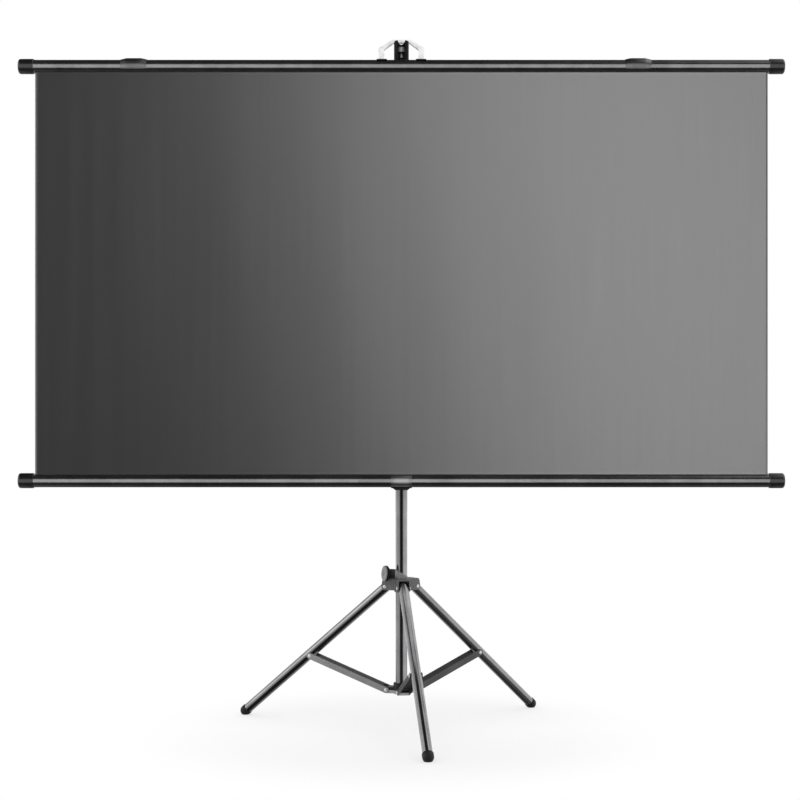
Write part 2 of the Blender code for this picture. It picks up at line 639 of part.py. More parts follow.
def make_mast(mast):
    """Make the mast tube, its bush and the clamp with its knob at the back."""
    stud_height = MAST_TOP_HEIGHT - MAST_CLAMP_HEIGHT / 2
    pipe = tube("mast_tube", MAST_RADIUS, MAST_BORE, SHOULDER_HEIGHT + GAP, MAST_TOP_HEIGHT)
    finish(pipe, mast, "tube_lacquer")
    axis = new_empty("mast_knob_axis", mast, (0, 0, stud_height), (-math.pi / 2, 0, 0))
    bush_bore = INNER_MAST_RADIUS + GAP
    bush = turned("mast_bush", [
        (MAST_RADIUS, MAST_TOP_HEIGHT + GAP + BUSH_FLANGE), (MAST_RADIUS, MAST_TOP_HEIGHT + GAP),
        (MAST_BORE - GAP, MAST_TOP_HEIGHT + GAP), (MAST_BORE - GAP, MAST_TOP_HEIGHT - BUSH_HEIGHT),
        (bush_bore, MAST_TOP_HEIGHT - BUSH_HEIGHT), (bush_bore, MAST_TOP_HEIGHT + GAP + BUSH_FLANGE)])
    finish(bush, mast, "nylon")
    clamp_bore = MAST_RADIUS + GAP
    low = MAST_TOP_HEIGHT - MAST_CLAMP_HEIGHT
    clamp = turned("mast_clamp", [
        (0.0, MAST_TOP_HEIGHT), (MAST_CLAMP_RADIUS, MAST_TOP_HEIGHT), (MAST_CLAMP_RADIUS, low + 0.001),
        (MAST_CLAMP_RADIUS - 0.001, low), (0.0, low)])
    finish(clamp, mast, "black_plastic")
    boss = turned("mast_clamp_boss", [
        (0.0, BOSS_REACH), (BOSS_RADIUS - 0.001, BOSS_REACH), (BOSS_RADIUS, BOSS_REACH - 0.001),
        (BOSS_RADIUS, 0.004), (0.0, 0.004)])
    combine(clamp, as_tool(boss, axis), "UNION")
    bore = rod("mast_clamp_bore", clamp_bore, low - 0.02, MAST_TOP_HEIGHT + 0.02, ROUND_STEPS)
    combine(clamp, as_tool(bore, mast))
    for item in (clamp, pipe, bush):
        hole = rod(item.name + "_stud_hole", STUD_RADIUS + GAP, 0.002, BOSS_REACH + 0.01)
        combine(item, as_tool(hole, axis))
    make_knob("mast_knob", axis, INNER_MAST_RADIUS + GAP, BOSS_REACH + GAP)


def make_cradle(mast):
    """Make the cradle: a sleeve on the mast tube with a lipped saddle for the lower bar."""
    bore = MAST_RADIUS + GAP
    low = BOTTOM_BAR_HEIGHT - SLEEVE_DROP
    high = BOTTOM_BAR_HEIGHT + SLEEVE_RISE
    cradle = rod("bar_cradle", SLEEVE_RADIUS, low, high, ROUND_STEPS)
    finish(cradle, mast, "black_plastic")
    centre = new_empty("cradle_centre", mast, (0, -BAR_FORWARD, BOTTOM_BAR_HEIGHT))
    half = CRADLE_WIDTH / 2
    saddle_bore = BAR_RADIUS + GAP
    crown = [(0.0, half)]
    for step in range(9):
        across = half * (1 - 2 * step / 8)
        skin = CRADLE_EDGE_SKIN + (CRADLE_SKIN - CRADLE_EDGE_SKIN) * (1 - (across / half) ** 2)
        crown.append((saddle_bore + skin, across))
    saddle = turned("cradle_saddle", crown + [(0.0, -half)])
    combine(cradle, as_tool(saddle, centre, rotation=ALONG_X), "UNION")
    keel_half = CRADLE_KEEL_WIDTH / 2
    keel_low = -SLEEVE_DROP + 0.0007
    keel = outlined("cradle_keel", [(-half + 0.0004, -CRADLE_KEEL_TOP), (-keel_half, keel_low),
                                    (keel_half, keel_low), (half - 0.0004, -CRADLE_KEEL_TOP)], 0.022)
    combine(cradle, as_tool(keel, centre, (0, 0.004, 0), UPRIGHT_ALONG_X), "UNION")
    boss_height = (SLEEVE_RISE - SLEEVE_DROP) / 2 + 0.012
    axis = new_empty("cradle_knob_axis", mast, (0, 0, BOTTOM_BAR_HEIGHT + boss_height),
                     (-math.pi / 2, 0, 0))
    boss = rod("cradle_boss", 0.0085, 0.004, SLEEVE_RADIUS + 0.006, 24)
    combine(cradle, as_tool(boss, axis), "UNION")
    back = BAR_FORWARD - SLEEVE_RADIUS - 0.0006
    lip_angle = math.degrees(math.asin(CRADLE_LIP_RISE / saddle_bore))
    opening = arc((0, 0), saddle_bore, 180 - lip_angle, 360 + lip_angle, 37)
    opening += [(back, CRADLE_LIP_RISE), (back, 0.05), (-0.05, 0.05), (-0.05, CRADLE_LIP_RISE)]
    seat = outlined("bar_seat", opening, CRADLE_WIDTH + 0.02)
    combine(cradle, as_tool(seat, centre, rotation=UPRIGHT_ALONG_Y))
    mast_bore = rod("cradle_mast_bore", bore, low - 0.02, high + 0.02, ROUND_STEPS)
    combine(cradle, as_tool(mast_bore, mast))
    hole = rod("cradle_screw_hole", 0.0028, 0.002, SLEEVE_RADIUS + 0.02)
    combine(cradle, as_tool(hole, axis))
    make_thumbscrew(axis)


def make_thumbscrew(axis):
    """Make the wing screw that fixes the cradle on the mast tube."""
    start = SLEEVE_RADIUS + 0.006 + GAP
    stem = turned("cradle_screw", [
        (0.0, start + 0.009), (0.0048, start + 0.009), (0.0056, start + 0.008), (0.0060, start),
        (0.0025, start), (0.0025, MAST_RADIUS + GAP), (0.0, MAST_RADIUS + GAP)], 24)
    finish(stem, axis, "black_plastic")
    wing = outlined("screw_wing", rounded([
        (-0.0145, start + 0.0180, 0.002), (-0.0105, start + 0.0045, 0.001), (0.0105, start + 0.0045, 0.001),
        (0.0145, start + 0.0180, 0.002), (0.0085, start + 0.0190, 0.002), (0.0040, start + 0.0095, 0.001),
        (-0.0040, start + 0.0095, 0.001), (-0.0085, start + 0.0190, 0.002)], 3), 0.0038)
    combine(stem, as_tool(wing, axis, rotation=UPRIGHT_ALONG_X), "UNION")


def make_bar(name, parent, slot_side):
    """Make a slotted bar along X, with its slot in front and below (-1) or above (+1) its axis."""
    def crossing(radius, forward):
        return math.degrees(math.atan2(slot_side * math.sqrt(radius ** 2 - forward ** 2), -forward))

    outer_near = crossing(BAR_RADIUS, FABRIC_FORWARD - SLOT_WIDTH / 2)
    outer_far = crossing(BAR_RADIUS, FABRIC_FORWARD + SLOT_WIDTH / 2)
    inner_near = crossing(BAR_BORE, FABRIC_FORWARD - SLOT_WIDTH / 2)
    inner_far = crossing(BAR_BORE, FABRIC_FORWARD + SLOT_WIDTH / 2)
    if slot_side > 0:
        outline = arc((0, 0), BAR_RADIUS, outer_far, outer_near + 360, 44)
        outline += arc((0, 0), BAR_BORE, inner_near + 360, inner_far, 44)
    else:
        outline = arc((0, 0), BAR_RADIUS, outer_near, outer_far + 360, 44)
        outline += arc((0, 0), BAR_BORE, inner_far + 360, inner_near, 44)
    bar = outlined(name, outline, 2 * BAR_HALF_LENGTH)
    return finish(bar, parent, "bar_lacquer", rotation=UPRIGHT_ALONG_Y)


def make_bar_caps(prefix, parent):
    """Make the two plastic caps over a bar's ends."""
    inside = BAR_RADIUS + GAP
    outside = inside + CAP_SKIN
    rim = HALF_WIDTH - CAP_LENGTH
    floor = HALF_WIDTH - CAP_END_WALL
    profile = [(0.0, HALF_WIDTH)]
    for step in range(6):
        angle = math.radians(90 - 90 * step / 5)
        profile.append((outside - CAP_ROUNDING + CAP_ROUNDING * math.cos(angle),
                        HALF_WIDTH - CAP_ROUNDING + CAP_ROUNDING * math.sin(angle)))
    profile += [(outside, rim + 0.0006), (outside - 0.0006, rim), (inside, rim), (inside, floor),
                (0.0, floor)]
    for label, turn in (("left", -math.pi / 2), ("right", math.pi / 2)):
        cap = turned("%s_cap_%s" % (prefix, label), profile)
        finish(cap, parent, "black_plastic", rotation=(0, turn, 0))


def bead_offset():
    """Return how far a bead's centre lies above or below its bar's axis."""
    reach = BAR_BORE - BEAD_RADIUS - GAP
    return math.sqrt(reach ** 2 - FABRIC_FORWARD ** 2)


def make_bead(name, parent, side):
    """Make the round bead that holds the fabric's edge inside a bar."""
    half = FABRIC_WIDTH / 2
    bead = rod(name, BEAD_RADIUS, -half, half, 12)
    finish(bead, parent, "bead_plastic", (0, -FABRIC_FORWARD, side * bead_offset()), ALONG_X)


def make_fabric(mast):
    """Make the stretched screen fabric between both beads."""
    reach = bead_offset() + BEAD_RADIUS + GAP
    low = BOTTOM_BAR_HEIGHT + reach
    high = TOP_BAR_HEIGHT - reach
    half = FABRIC_WIDTH / 2
    sheet = block("screen_fabric", (-half, FABRIC_Y - FABRIC_THICKNESS / 2, low),
                  (half, FABRIC_Y + FABRIC_THICKNESS / 2, high))
    finish(sheet, mast, "screen_fabric")


def make_inner_mast(upper):
    """Make the telescoping tube and the head on top of it."""
    top = SOCKET_TOP_HEIGHT - GAP
    pipe = tube("inner_mast", INNER_MAST_RADIUS, INNER_MAST_RADIUS - INNER_MAST_WALL,
                INNER_MAST_FOOT_HEIGHT, top)
    finish(pipe, upper, "aluminium")
    socket = INNER_MAST_RADIUS + GAP
    flare = TOP_BAR_HEIGHT + BAR_RADIUS
    head = turned("mast_head", [
        (0.0, HEAD_TOP_HEIGHT), (HEAD_RADIUS - 0.0028, HEAD_TOP_HEIGHT),
        (HEAD_RADIUS - 0.0008, HEAD_TOP_HEIGHT - 0.0008), (HEAD_RADIUS, HEAD_TOP_HEIGHT - 0.0028),
        (HEAD_RADIUS, flare + 0.0075), (HEAD_RADIUS + 0.0012, flare + 0.0030),
        (HEAD_FLARE_RADIUS, flare + 0.0005), (HEAD_FLARE_RADIUS, flare - 0.0025),
        (HEAD_LOWER_RADIUS, flare - 0.0065), (HEAD_LOWER_RADIUS, HEAD_BOTTOM_HEIGHT + 0.001),
        (HEAD_LOWER_RADIUS - 0.001, HEAD_BOTTOM_HEIGHT), (socket, HEAD_BOTTOM_HEIGHT),
        (socket, SOCKET_TOP_HEIGHT), (0.0, SOCKET_TOP_HEIGHT)])
    finish(head, upper, "black_plastic")
    seat = bail_frame("bail_seat_frame", upper)
    inner = BAIL_REACH - BAIL_GRIP_WIDTH - GAP
    bevel = block("bail_seat", (-0.04, -0.04, inner), (0.04, 0.04, inner + 0.03))
    combine(head, as_tool(bevel, seat))
    notch_half = HEAD_NOTCH_WIDTH / 2
    notch_bottom = HEAD_TOP_HEIGHT - HEAD_NOTCH_DEPTH
    notch_round = 0.0075
    centre = (0, notch_bottom + notch_round)
    outline = [(-notch_half, HEAD_TOP_HEIGHT + 0.01)] + [(-notch_half, HEAD_TOP_HEIGHT)]
    outline += arc(centre, notch_round, 190, 350, 10) + [(notch_half, HEAD_TOP_HEIGHT)]
    outline += [(notch_half, HEAD_TOP_HEIGHT + 0.01)]
    notch = outlined("head_notch", outline, 0.08)
    combine(head, as_tool(notch, upper, rotation=UPRIGHT_ALONG_X))
    window_top = SOCKET_TOP_HEIGHT - 0.0012
    width, height = HEAD_WINDOW
    window = block("head_window", (-width / 2, -0.03, window_top - height), (width / 2, 0, window_top))
    combine(head, as_tool(window, upper))
    peep_width, peep_height = HEAD_PEEPHOLE
    peep_top = window_top - height - 0.0025
    peep = outlined("head_peephole", [
        (-peep_width / 2, peep_top - peep_height), (peep_width / 2, peep_top - peep_height),
        (peep_width / 12, peep_top), (-peep_width / 12, peep_top)], 0.03)
    combine(head, as_tool(peep, upper, (0, -0.015, 0), UPRIGHT_ALONG_X))


def bail_frame(name, upper):
    """Return an empty on the bail's pivot axis, its Z along the bail."""
    spot = (0, -BAR_FORWARD + BAIL_PIVOT_BACK, TOP_BAR_HEIGHT + BAIL_PIVOT_UP)
    return new_empty(name, upper, spot, (-BAIL_LEAN, 0, 0))


def make_bail(upper):
    """Make the carrying bail that hangs the upper bar on the mast head."""
    pivot = bail_frame("bail_pivot", upper)
    foot_in = BAIL_SPREAD - BAIL_FOOT_WIDTH / 2
    foot_out = BAIL_SPREAD + BAIL_FOOT_WIDTH / 2
    end = -BAIL_THICKNESS / 2
    inner = BAIL_REACH - BAIL_GRIP_WIDTH
    inner_shoulder = BAIL_SHOULDER_REACH - 0.006
    half = [(foot_in, end, 0), (foot_out, end, 0), (BAIL_SHOULDER_SPREAD, BAIL_SHOULDER_REACH, 0.008),
            (BAIL_GRIP_HALF, BAIL_REACH, 0.006)]
    half_inner = [(BAIL_GRIP_HALF - 0.002, inner, 0.003), (foot_in + 0.001, inner_shoulder, 0.006)]
    right = half + [(-x, y, r) for x, y, r in reversed(half)]
    left = [(-x, y, r) for x, y, r in reversed(half_inner)] + half_inner
    bail = outlined("carry_bail", rounded(right + left), BAIL_THICKNESS)
    finish(bail, pivot, "bail_white", rotation=UPRIGHT_ALONG_X)
    soften = bail.modifiers.new("soften", "BEVEL")
    soften.width = 0.0012
    soften.segments = 2
    soften.limit_method = "ANGLE"
    soften.angle_limit = math.radians(50)
    for label, side in (("left", -1), ("right", 1)):
        make_bail_bracket(label, side, upper, pivot, bail)


def make_bail_bracket(label, side, upper, pivot, bail):
    """Make one bracket of the bail, with its pin."""
    half = BRACKET_WIDTH / 2
    centre = new_empty("bracket_centre_" + label, upper, (side * BAIL_SPREAD, -BAR_FORWARD, TOP_BAR_HEIGHT))
    inside = BAR_RADIUS + GAP
    shell = rod("bail_bracket_" + label, inside + BRACKET_SKIN, -half, half, ROUND_STEPS)
    finish(shell, centre, "black_plastic", rotation=ALONG_X)
    eye = rod("bracket_eye_" + label, BRACKET_EYE, -half, half)
    at_eye = (0, BAIL_PIVOT_BACK, BAIL_PIVOT_UP)
    combine(shell, as_tool(eye, centre, at_eye, ALONG_X), "UNION")
    bore = rod("bracket_bore_" + label, inside, -half - 0.01, half + 0.01, ROUND_STEPS)
    combine(shell, as_tool(bore, centre, rotation=ALONG_X))
    open_side = outlined("bracket_open_" + label, [
        (0, 0), (-0.0190, 0.0225), (-0.04, 0.04), (-0.04, -0.04), (0.04, -0.04), (0.04, -0.0231)], 0.06)
    combine(shell, as_tool(open_side, centre, rotation=UPRIGHT_ALONG_Y))
    gap_half = BAIL_FOOT_WIDTH / 2 + 0.0004
    gap = block("bracket_gap_" + label, (-gap_half, BAIL_PIVOT_BACK - BRACKET_EYE, -0.004),
                (gap_half, 0.03, 0.03))
    combine(shell, as_tool(gap, centre))
    hole = rod("bracket_hole_" + label, BAIL_PIN_RADIUS + GAP, -0.03, 0.03, 12)
    combine(shell, as_tool(hole, centre, at_eye, ALONG_X))
    foot_hole = rod("bail_hole_" + label, BAIL_PIN_RADIUS + GAP, -0.012, 0.012, 12)
    combine(bail, as_tool(foot_hole, pivot, (side * BAIL_SPREAD, 0, 0), ALONG_X))
    pin = rod("bail_pin_" + label, BAIL_PIN_RADIUS, -half, half, 12)
    finish(pin, centre, "bright_steel", at_eye, ALONG_X)


def make_clip(label, x, upper):
    """Make a hanging clip that snaps on the upper bar, with its tab at the back."""
    centre = new_empty("clip_centre_" + label, upper, (x, -BAR_FORWARD, TOP_BAR_HEIGHT))
    half = CLIP_LENGTH / 2
    inside = BAR_RADIUS + GAP
    outside = inside + CLIP_SKIN
    edge = inside + CLIP_SKIN - CLIP_CHAMFER
    clip = turned("hanging_clip_" + label, [
        (edge, half), (outside, half - CLIP_CHAMFER), (outside, -half + CLIP_CHAMFER), (edge, -half),
        (inside, -half), (inside, half)])
    finish(clip, centre, "bar_lacquer", rotation=ALONG_X)
    width, depth, height = CLIP_TAB
    back = outside - 0.0010
    tab = block("clip_tab_" + label, (-width / 2, back, -0.010), (width / 2, back + depth, height - 0.010))
    combine(clip, as_tool(tab, centre), "UNION")
    open_side = outlined("clip_open_" + label, [
        (0, 0), (-0.05, 0.0), (-0.05, -0.05), (0.05, -0.05), (0.05, -0.035)], CLIP_LENGTH + 0.02)
    combine(clip, as_tool(open_side, centre, rotation=UPRIGHT_ALONG_Y))
    hole = rod("clip_hole_" + label, CLIP_TAB_HOLE, 0.0, 0.06)
    combine(clip, as_tool(hole, centre, (0, 0, height - 0.010 - 2 * CLIP_TAB_HOLE), ALONG_Y))


def weld_cut_edges():
    """Merge the doubled points that cuts and joins can leave."""
    for item in PARTS.objects:
        if any(modifier.type == "BOOLEAN" for modifier in item.modifiers):
            weld = item.modifiers.new("weld", "WELD")
            weld.merge_threshold = WELD_DISTANCE


def centre_on_floor(stand):
    """Move the whole object so that its bounding box is centred over the origin."""
    bpy.context.view_layer.update()
    graph = bpy.context.evaluated_depsgraph_get()
    corners = []
    for item in PARTS.objects:
        if item.type == "MESH":
            evaluated = item.evaluated_get(graph)
            corners += [evaluated.matrix_world @ Vector(corner) for corner in evaluated.bound_box]
    for axis in (0, 1):
        low = min(corner[axis] for corner in corners)
        high = max(corner[axis] for corner in corners)
        stand.location[axis] = -(low + high) / 2


def build():
    """Build the whole screen."""
    stand = new_empty("stand")
    global FLOOR_TOOL
    FLOOR_TOOL = as_tool(block("floor_cut", (-1, -1, -0.1), (1, 1, 0)), stand)
    column_foot = make_foot_hub(stand)
    make_column(stand, column_foot)
    make_struts(stand)
    collar = new_empty("collar_slide", stand)
    make_leg_collar(collar)
    make_clamp(collar)
    make_legs(collar)
    mast = new_empty("mast_swivel", stand)
    make_mast(mast)
    make_cradle(mast)
    roller = new_empty("bottom_roller", mast, (0, -BAR_FORWARD, BOTTOM_BAR_HEIGHT))
    make_bar("bottom_bar", roller, 1)
    make_bar_caps("bottom", roller)
    make_bead("bottom_bead", roller, 1)
    make_fabric(mast)
    upper = new_empty("mast_slide", mast)
    make_inner_mast(upper)
    hanger = new_empty("top_bar_axis", upper, (0, -BAR_FORWARD, TOP_BAR_HEIGHT))
    make_bar("top_bar", hanger, -1)
    make_bar_caps("top", hanger)
    make_bead("top_bead", hanger, -1)
    make_bail(upper)
    make_clip("left", CLIP_LEFT_X, upper)
    make_clip("right", CLIP_RIGHT_X, upper)
    weld_cut_edges()
    centre_on_floor(stand)


clear_scene()
MATERIALS = make_materials()
PARTS = new_collection(OBJECT_NAME)
TOOLS = new_collection("cutters")
FLOOR_TOOL = None
build()
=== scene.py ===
"""Looks of a portable projection screen on a folding tripod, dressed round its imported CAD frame."""
from __future__ import annotations

import json
import logging
import math
from dataclasses import dataclass
from enum import Enum
from typing import Any, Union

import bmesh
import bpy
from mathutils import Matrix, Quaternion, Vector


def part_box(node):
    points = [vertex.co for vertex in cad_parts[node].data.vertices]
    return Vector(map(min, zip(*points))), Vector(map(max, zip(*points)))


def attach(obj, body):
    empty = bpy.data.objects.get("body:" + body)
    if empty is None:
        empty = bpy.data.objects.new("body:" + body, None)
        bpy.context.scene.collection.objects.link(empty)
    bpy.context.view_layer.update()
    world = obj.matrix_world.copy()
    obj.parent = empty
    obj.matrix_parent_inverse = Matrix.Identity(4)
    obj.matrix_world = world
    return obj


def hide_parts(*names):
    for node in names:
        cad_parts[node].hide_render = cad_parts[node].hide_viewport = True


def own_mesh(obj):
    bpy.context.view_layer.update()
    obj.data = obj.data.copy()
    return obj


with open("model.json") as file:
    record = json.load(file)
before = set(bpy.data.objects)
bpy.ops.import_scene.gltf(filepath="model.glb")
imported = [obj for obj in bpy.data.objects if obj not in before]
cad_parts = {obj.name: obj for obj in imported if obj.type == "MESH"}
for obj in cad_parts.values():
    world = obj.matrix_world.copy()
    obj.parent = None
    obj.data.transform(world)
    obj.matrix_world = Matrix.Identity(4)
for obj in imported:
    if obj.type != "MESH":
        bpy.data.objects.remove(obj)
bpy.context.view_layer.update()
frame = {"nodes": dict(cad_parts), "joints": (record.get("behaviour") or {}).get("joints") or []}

LOG = logging.getLogger("projection_screen")
NOISE_MEAN = 0.5
SHARP_DEGREES = 32.0
WELD_DISTANCE = 0.00001
WHITE = (1.0, 1.0, 1.0, 1.0)
Colour = tuple[float, float, float]
Point = tuple[float, float, float]
Span = tuple[float, float]


class Way(Enum):
    """The direction in which a finish was drawn, brushed or extruded."""

    ACROSS = (1.0, 0.0, 0.0)
    DEPTH = (0.0, 1.0, 0.0)
    UPRIGHT = (0.0, 0.0, 1.0)


class Wear(Enum):
    """How much handling a finish shows."""

    FRESH = 0.0
    LIGHT = 0.5


@dataclass(frozen=True)
class Layer:
    """One layer of smooth noise, and what it does to a finish.

    Args:
        scale: How many features there are in a metre, across its marks if it has a length.
        detail: How many finer layers it has.
        rough: How strong the finer layers are.
        length: The scale along its marks, or 0 for noise that is the same all round.
        shows: The span of the noise over which the layer comes in.
        adds: What it adds to the finish's roughness.
    """

    scale: float
    detail: float = 2.0
    rough: float = 0.5
    length: float = 0.0
    shows: Span = (0.35, 0.65)
    adds: float = 0.0


@dataclass
class Value:
    """A shader socket that takes part in Python expressions.

    Args:
        graph: The graph that the socket belongs to.
        socket: The socket itself.
    """

    graph: "Graph"
    socket: bpy.types.NodeSocket

    def _math(self, operation: str, other: "Number", flipped: bool = False) -> "Value":
        """Return what a Math node makes of this value and another, which may come first."""
        first, second = (other, self) if flipped else (self, other)
        return self.graph.node("ShaderNodeMath", {"operation": operation}, {0: first, 1: second})

    def __add__(self, other: "Number") -> "Value":
        """Return self + other."""
        return self._math("ADD", other)

    def __radd__(self, other: "Number") -> "Value":
        """Return other + self."""
        return self._math("ADD", other, True)

    def __sub__(self, other: "Number") -> "Value":
        """Return self - other."""
        return self._math("SUBTRACT", other)

    def __rsub__(self, other: "Number") -> "Value":
        """Return other - self."""
        return self._math("SUBTRACT", other, True)

    def __mul__(self, other: "Number") -> "Value":
        """Return self * other."""
        return self._math("MULTIPLY", other)

    def __rmul__(self, other: "Number") -> "Value":
        """Return other * self."""
        return self._math("MULTIPLY", other, True)

    def __pow__(self, other: "Number") -> "Value":
        """Return self ** other."""
        return self._math("POWER", other)

    def larger(self, other: "Number") -> "Value":
        """Return the larger of this and another value."""
        return self._math("MAXIMUM", other)

    def turn(self, other: "Number") -> "Value":
        """Return the angle of a point that lies this far across and the other value up."""
        return self._math("ARCTAN2", other)

    def absolute(self) -> "Value":
        """Return this value without its sign."""
        return self.graph.node("ShaderNodeMath", {"operation": "ABSOLUTE"}, {0: self})

    def sine(self) -> "Value":
        """Return the sine of this value."""
        return self.graph.node("ShaderNodeMath", {"operation": "SINE"}, {0: self})

    def ramp(self, low: float, high: float, start: float = 0.0, end: float = 1.0) -> "Value":
        """Return this value eased from one range to another.

        Args:
            low: The value where the result is start.
            high: The value where the result is end.
            start: The result at and below low.
            end: The result at and above high.

        Returns:
            The eased value, held at both ends.
        """
        settings = {"interpolation_type": "SMOOTHSTEP"}
        sockets = {"Value": self, "From Min": low, "From Max": high, "To Min": start, "To Max": end}
        return self.graph.node("ShaderNodeMapRange", settings, sockets)


Number = Union[Value, float]


class Graph:
    """A material's or the world's node tree."""

    def __init__(self, tree: bpy.types.NodeTree) -> None:
        """Start from an empty tree."""
        self.tree = tree
        self.tree.nodes.clear()

    def node(self, kind: str, settings: dict[str, Any] | None = None,
             sockets: dict[Any, Any] | None = None, output: int | str = 0) -> Value:
        """Add any node.

        Args:
            kind: The node's type.
            settings: The node's own properties, which are set first.
            sockets: Numbers, colours or values for its input sockets, by name or index.
            output: The output socket to return.

        Returns:
            The chosen output.
        """
        made = self.tree.nodes.new(kind)
        for name, setting in (settings or {}).items():
            setattr(made, name, setting)
        for name, value in (sockets or {}).items():
            if isinstance(value, Value):
                self.tree.links.new(value.socket, made.inputs[name])
            else:
                made.inputs[name].default_value = value
        found = made.outputs[output] if made.outputs else None
        return Value(self, found)

    def place(self) -> Value:
        """Return the place on the surface, in metres, which stays with a moving piece."""
        return self.node("ShaderNodeTexCoord", output="Object")

    def parts(self, vector: Value) -> tuple[Value, Value, Value]:
        """Return a vector's three parts.

        Args:
            vector: The vector to take apart.

        Returns:
            Its x, y and z.
        """
        split = self.node("ShaderNodeSeparateXYZ", sockets={0: vector})
        outputs = split.socket.node.outputs
        return Value(self, outputs[0]), Value(self, outputs[1]), Value(self, outputs[2])

    def along(self, layer: Layer, way: Point) -> Value:
        """Return a place that is stretched along a direction, for drawn and brushed marks.

        Args:
            layer: The marks' scale and length.
            way: Their direction.

        Returns:
            The stretched place.
        """
        line = Vector(way).normalized()
        side = line.orthogonal().normalized()
        place = self.place()
        axes = ((side, layer.scale), (line.cross(side), layer.scale), (line, layer.length))
        dots = [self.node("ShaderNodeVectorMath", {"operation": "DOT_PRODUCT"},
                          {0: place, 1: tuple(axis)}, "Value") * scale for axis, scale in axes]
        return self.node("ShaderNodeCombineXYZ", sockets=dict(enumerate(dots)))

    def noise(self, layer: Layer, way: Point = Way.UPRIGHT.value) -> Value:
        """Return smooth noise between about 0.25 and 0.75.

        Args:
            layer: The noise's settings.
            way: The direction of its marks, if it has a length.

        Returns:
            The noise.
        """
        place = self.along(layer, way) if layer.length else self.place()
        scale = 1.0 if layer.length else layer.scale
        sockets = {"Vector": place, "Scale": scale, "Detail": layer.detail, "Roughness": layer.rough}
        return self.node("ShaderNodeTexNoise", sockets=sockets)

    def blend(self, share: Number, first: Colour | Value, second: Colour | Value) -> Value:
        """Mix two colours.

        Args:
            share: The second colour's share.
            first: The colour at 0.
            second: The colour at 1.

        Returns:
            The mixed colour.
        """
        wide = [(*c, 1.0) if isinstance(c, tuple) else c for c in (first, second)]
        return self.node("ShaderNodeMix", {"data_type": "RGBA"},
                         {"Factor": share, 6: wide[0], 7: wide[1]}, 2)

    def bump(self, height: Value, distance: float, strength: float = 1.0,
             under: Value | None = None) -> Value:
        """Return a normal that follows a height.

        Args:
            height: The height, as a share of the distance.
            distance: The height's full range in metres.
            strength: How much of it shows.
            under: A normal that this one lies on.

        Returns:
            The normal.
        """
        sockets: dict[str, Any] = {"Height": height, "Distance": distance, "Strength": strength}
        if under is not None:
            sockets["Normal"] = under
        return self.node("ShaderNodeBump", sockets=sockets)

    def surface(self, fixed: dict[str, Any], varied: dict[str, Value]) -> None:
        """End the graph in a Principled surface."""
        shader = self.node("ShaderNodeBsdfPrincipled", sockets={**fixed, **varied})
        self.node("ShaderNodeOutputMaterial", sockets={"Surface": shader})


def scaled(colour: Colour, factor: float) -> Colour:
    """Return a colour made lighter or darker."""
    red, green, blue = colour
    return (red * factor, green * factor, blue * factor)


@dataclass(frozen=True)
class Finish:
    """A surface finish that is painted with shader nodes.

    Args:
        name: The material's name.
        colour: Its main colour, linear.
        roughness: Its mean roughness.
        metallic: Its share of metal.
        wear: How much handling it shows.
    """

    name: str
    colour: Colour
    roughness: float
    metallic: float = 0.0
    wear: Wear = Wear.LIGHT

    def material(self) -> bpy.types.Material:
        """Return this finish as a new material."""
        made = bpy.data.materials.new(self.name)
        made.use_nodes = True
        made.diffuse_color = (*self.colour, 1.0)
        self.paint(Graph(made.node_tree))
        return made

    def paint(self, graph: Graph) -> None:
        """Fill the material's graph."""
        raise NotImplementedError

    def mottled(self, graph: Graph, share: Value, tones: Span) -> Value:
        """Return the main colour between two of its tones."""
        first, second = tones
        return graph.blend(share, scaled(self.colour, first), scaled(self.colour, second))


@dataclass(frozen=True)
class Lacquer(Finish):
    """Stoved lacquer on drawn metal: faint drawing lines, orange peel and dust in its shine.

    Args:
        way: The direction in which the metal was drawn.
        coat: The weight of the clear coat.
        gloss: The shader's specular level.
        lines: The depth of the drawing lines in metres.
        peel: The depth of the orange peel in metres.
    """

    DRAWN = Layer(1500.0, 3.0, 0.6, length=6.0, adds=0.05)
    PEEL = Layer(420.0)
    CLOUD = Layer(14.0, 4.0, 0.6, adds=0.05)
    DUST = Layer(900.0, 1.0, shows=(0.66, 0.74), adds=0.04)
    SCUFF = Layer(260.0, 4.0, 0.7, length=22.0, shows=(0.60, 0.72), adds=0.08)
    HANDLED = (0.52, 0.62)
    TONES = (0.88, 1.12)
    WORN_TONE = 2.2
    WORN_SHARE = 0.35
    PEEL_STRENGTH = 0.6
    COAT_ROUGHNESS = 0.12

    way: Point = Way.UPRIGHT.value
    coat: float = 0.3
    gloss: float = 0.5
    lines: float = 0.0000012
    peel: float = 0.000004

    def paint(self, graph: Graph) -> None:
        """Fill the material's graph."""
        drawn = graph.noise(self.DRAWN, self.way)
        peel = graph.noise(self.PEEL)
        cloud = graph.noise(self.CLOUD)
        dust = graph.noise(self.DUST).ramp(*self.DUST.shows)
        scuff = graph.noise(self.SCUFF, self.way).ramp(*self.SCUFF.shows)
        worn = scuff * cloud.ramp(*self.HANDLED) * self.wear.value
        tone = self.mottled(graph, cloud.ramp(*self.CLOUD.shows), self.TONES)
        tone = graph.blend(worn * self.WORN_SHARE, tone, scaled(self.colour, self.WORN_TONE))
        rough = (self.roughness + (drawn - NOISE_MEAN) * self.DRAWN.adds
                 + (cloud - NOISE_MEAN) * self.CLOUD.adds
                 + worn * self.SCUFF.adds + dust * self.DUST.adds)
        normal = graph.bump(drawn, self.lines)
        normal = graph.bump(peel, self.peel, self.PEEL_STRENGTH, normal)
        graph.surface(
            {"Metallic": self.metallic, "Coat Weight": self.coat,
             "Coat Roughness": self.COAT_ROUGHNESS, "Specular IOR Level": self.gloss},
            {"Base Color": tone, "Roughness": rough, "Normal": normal})


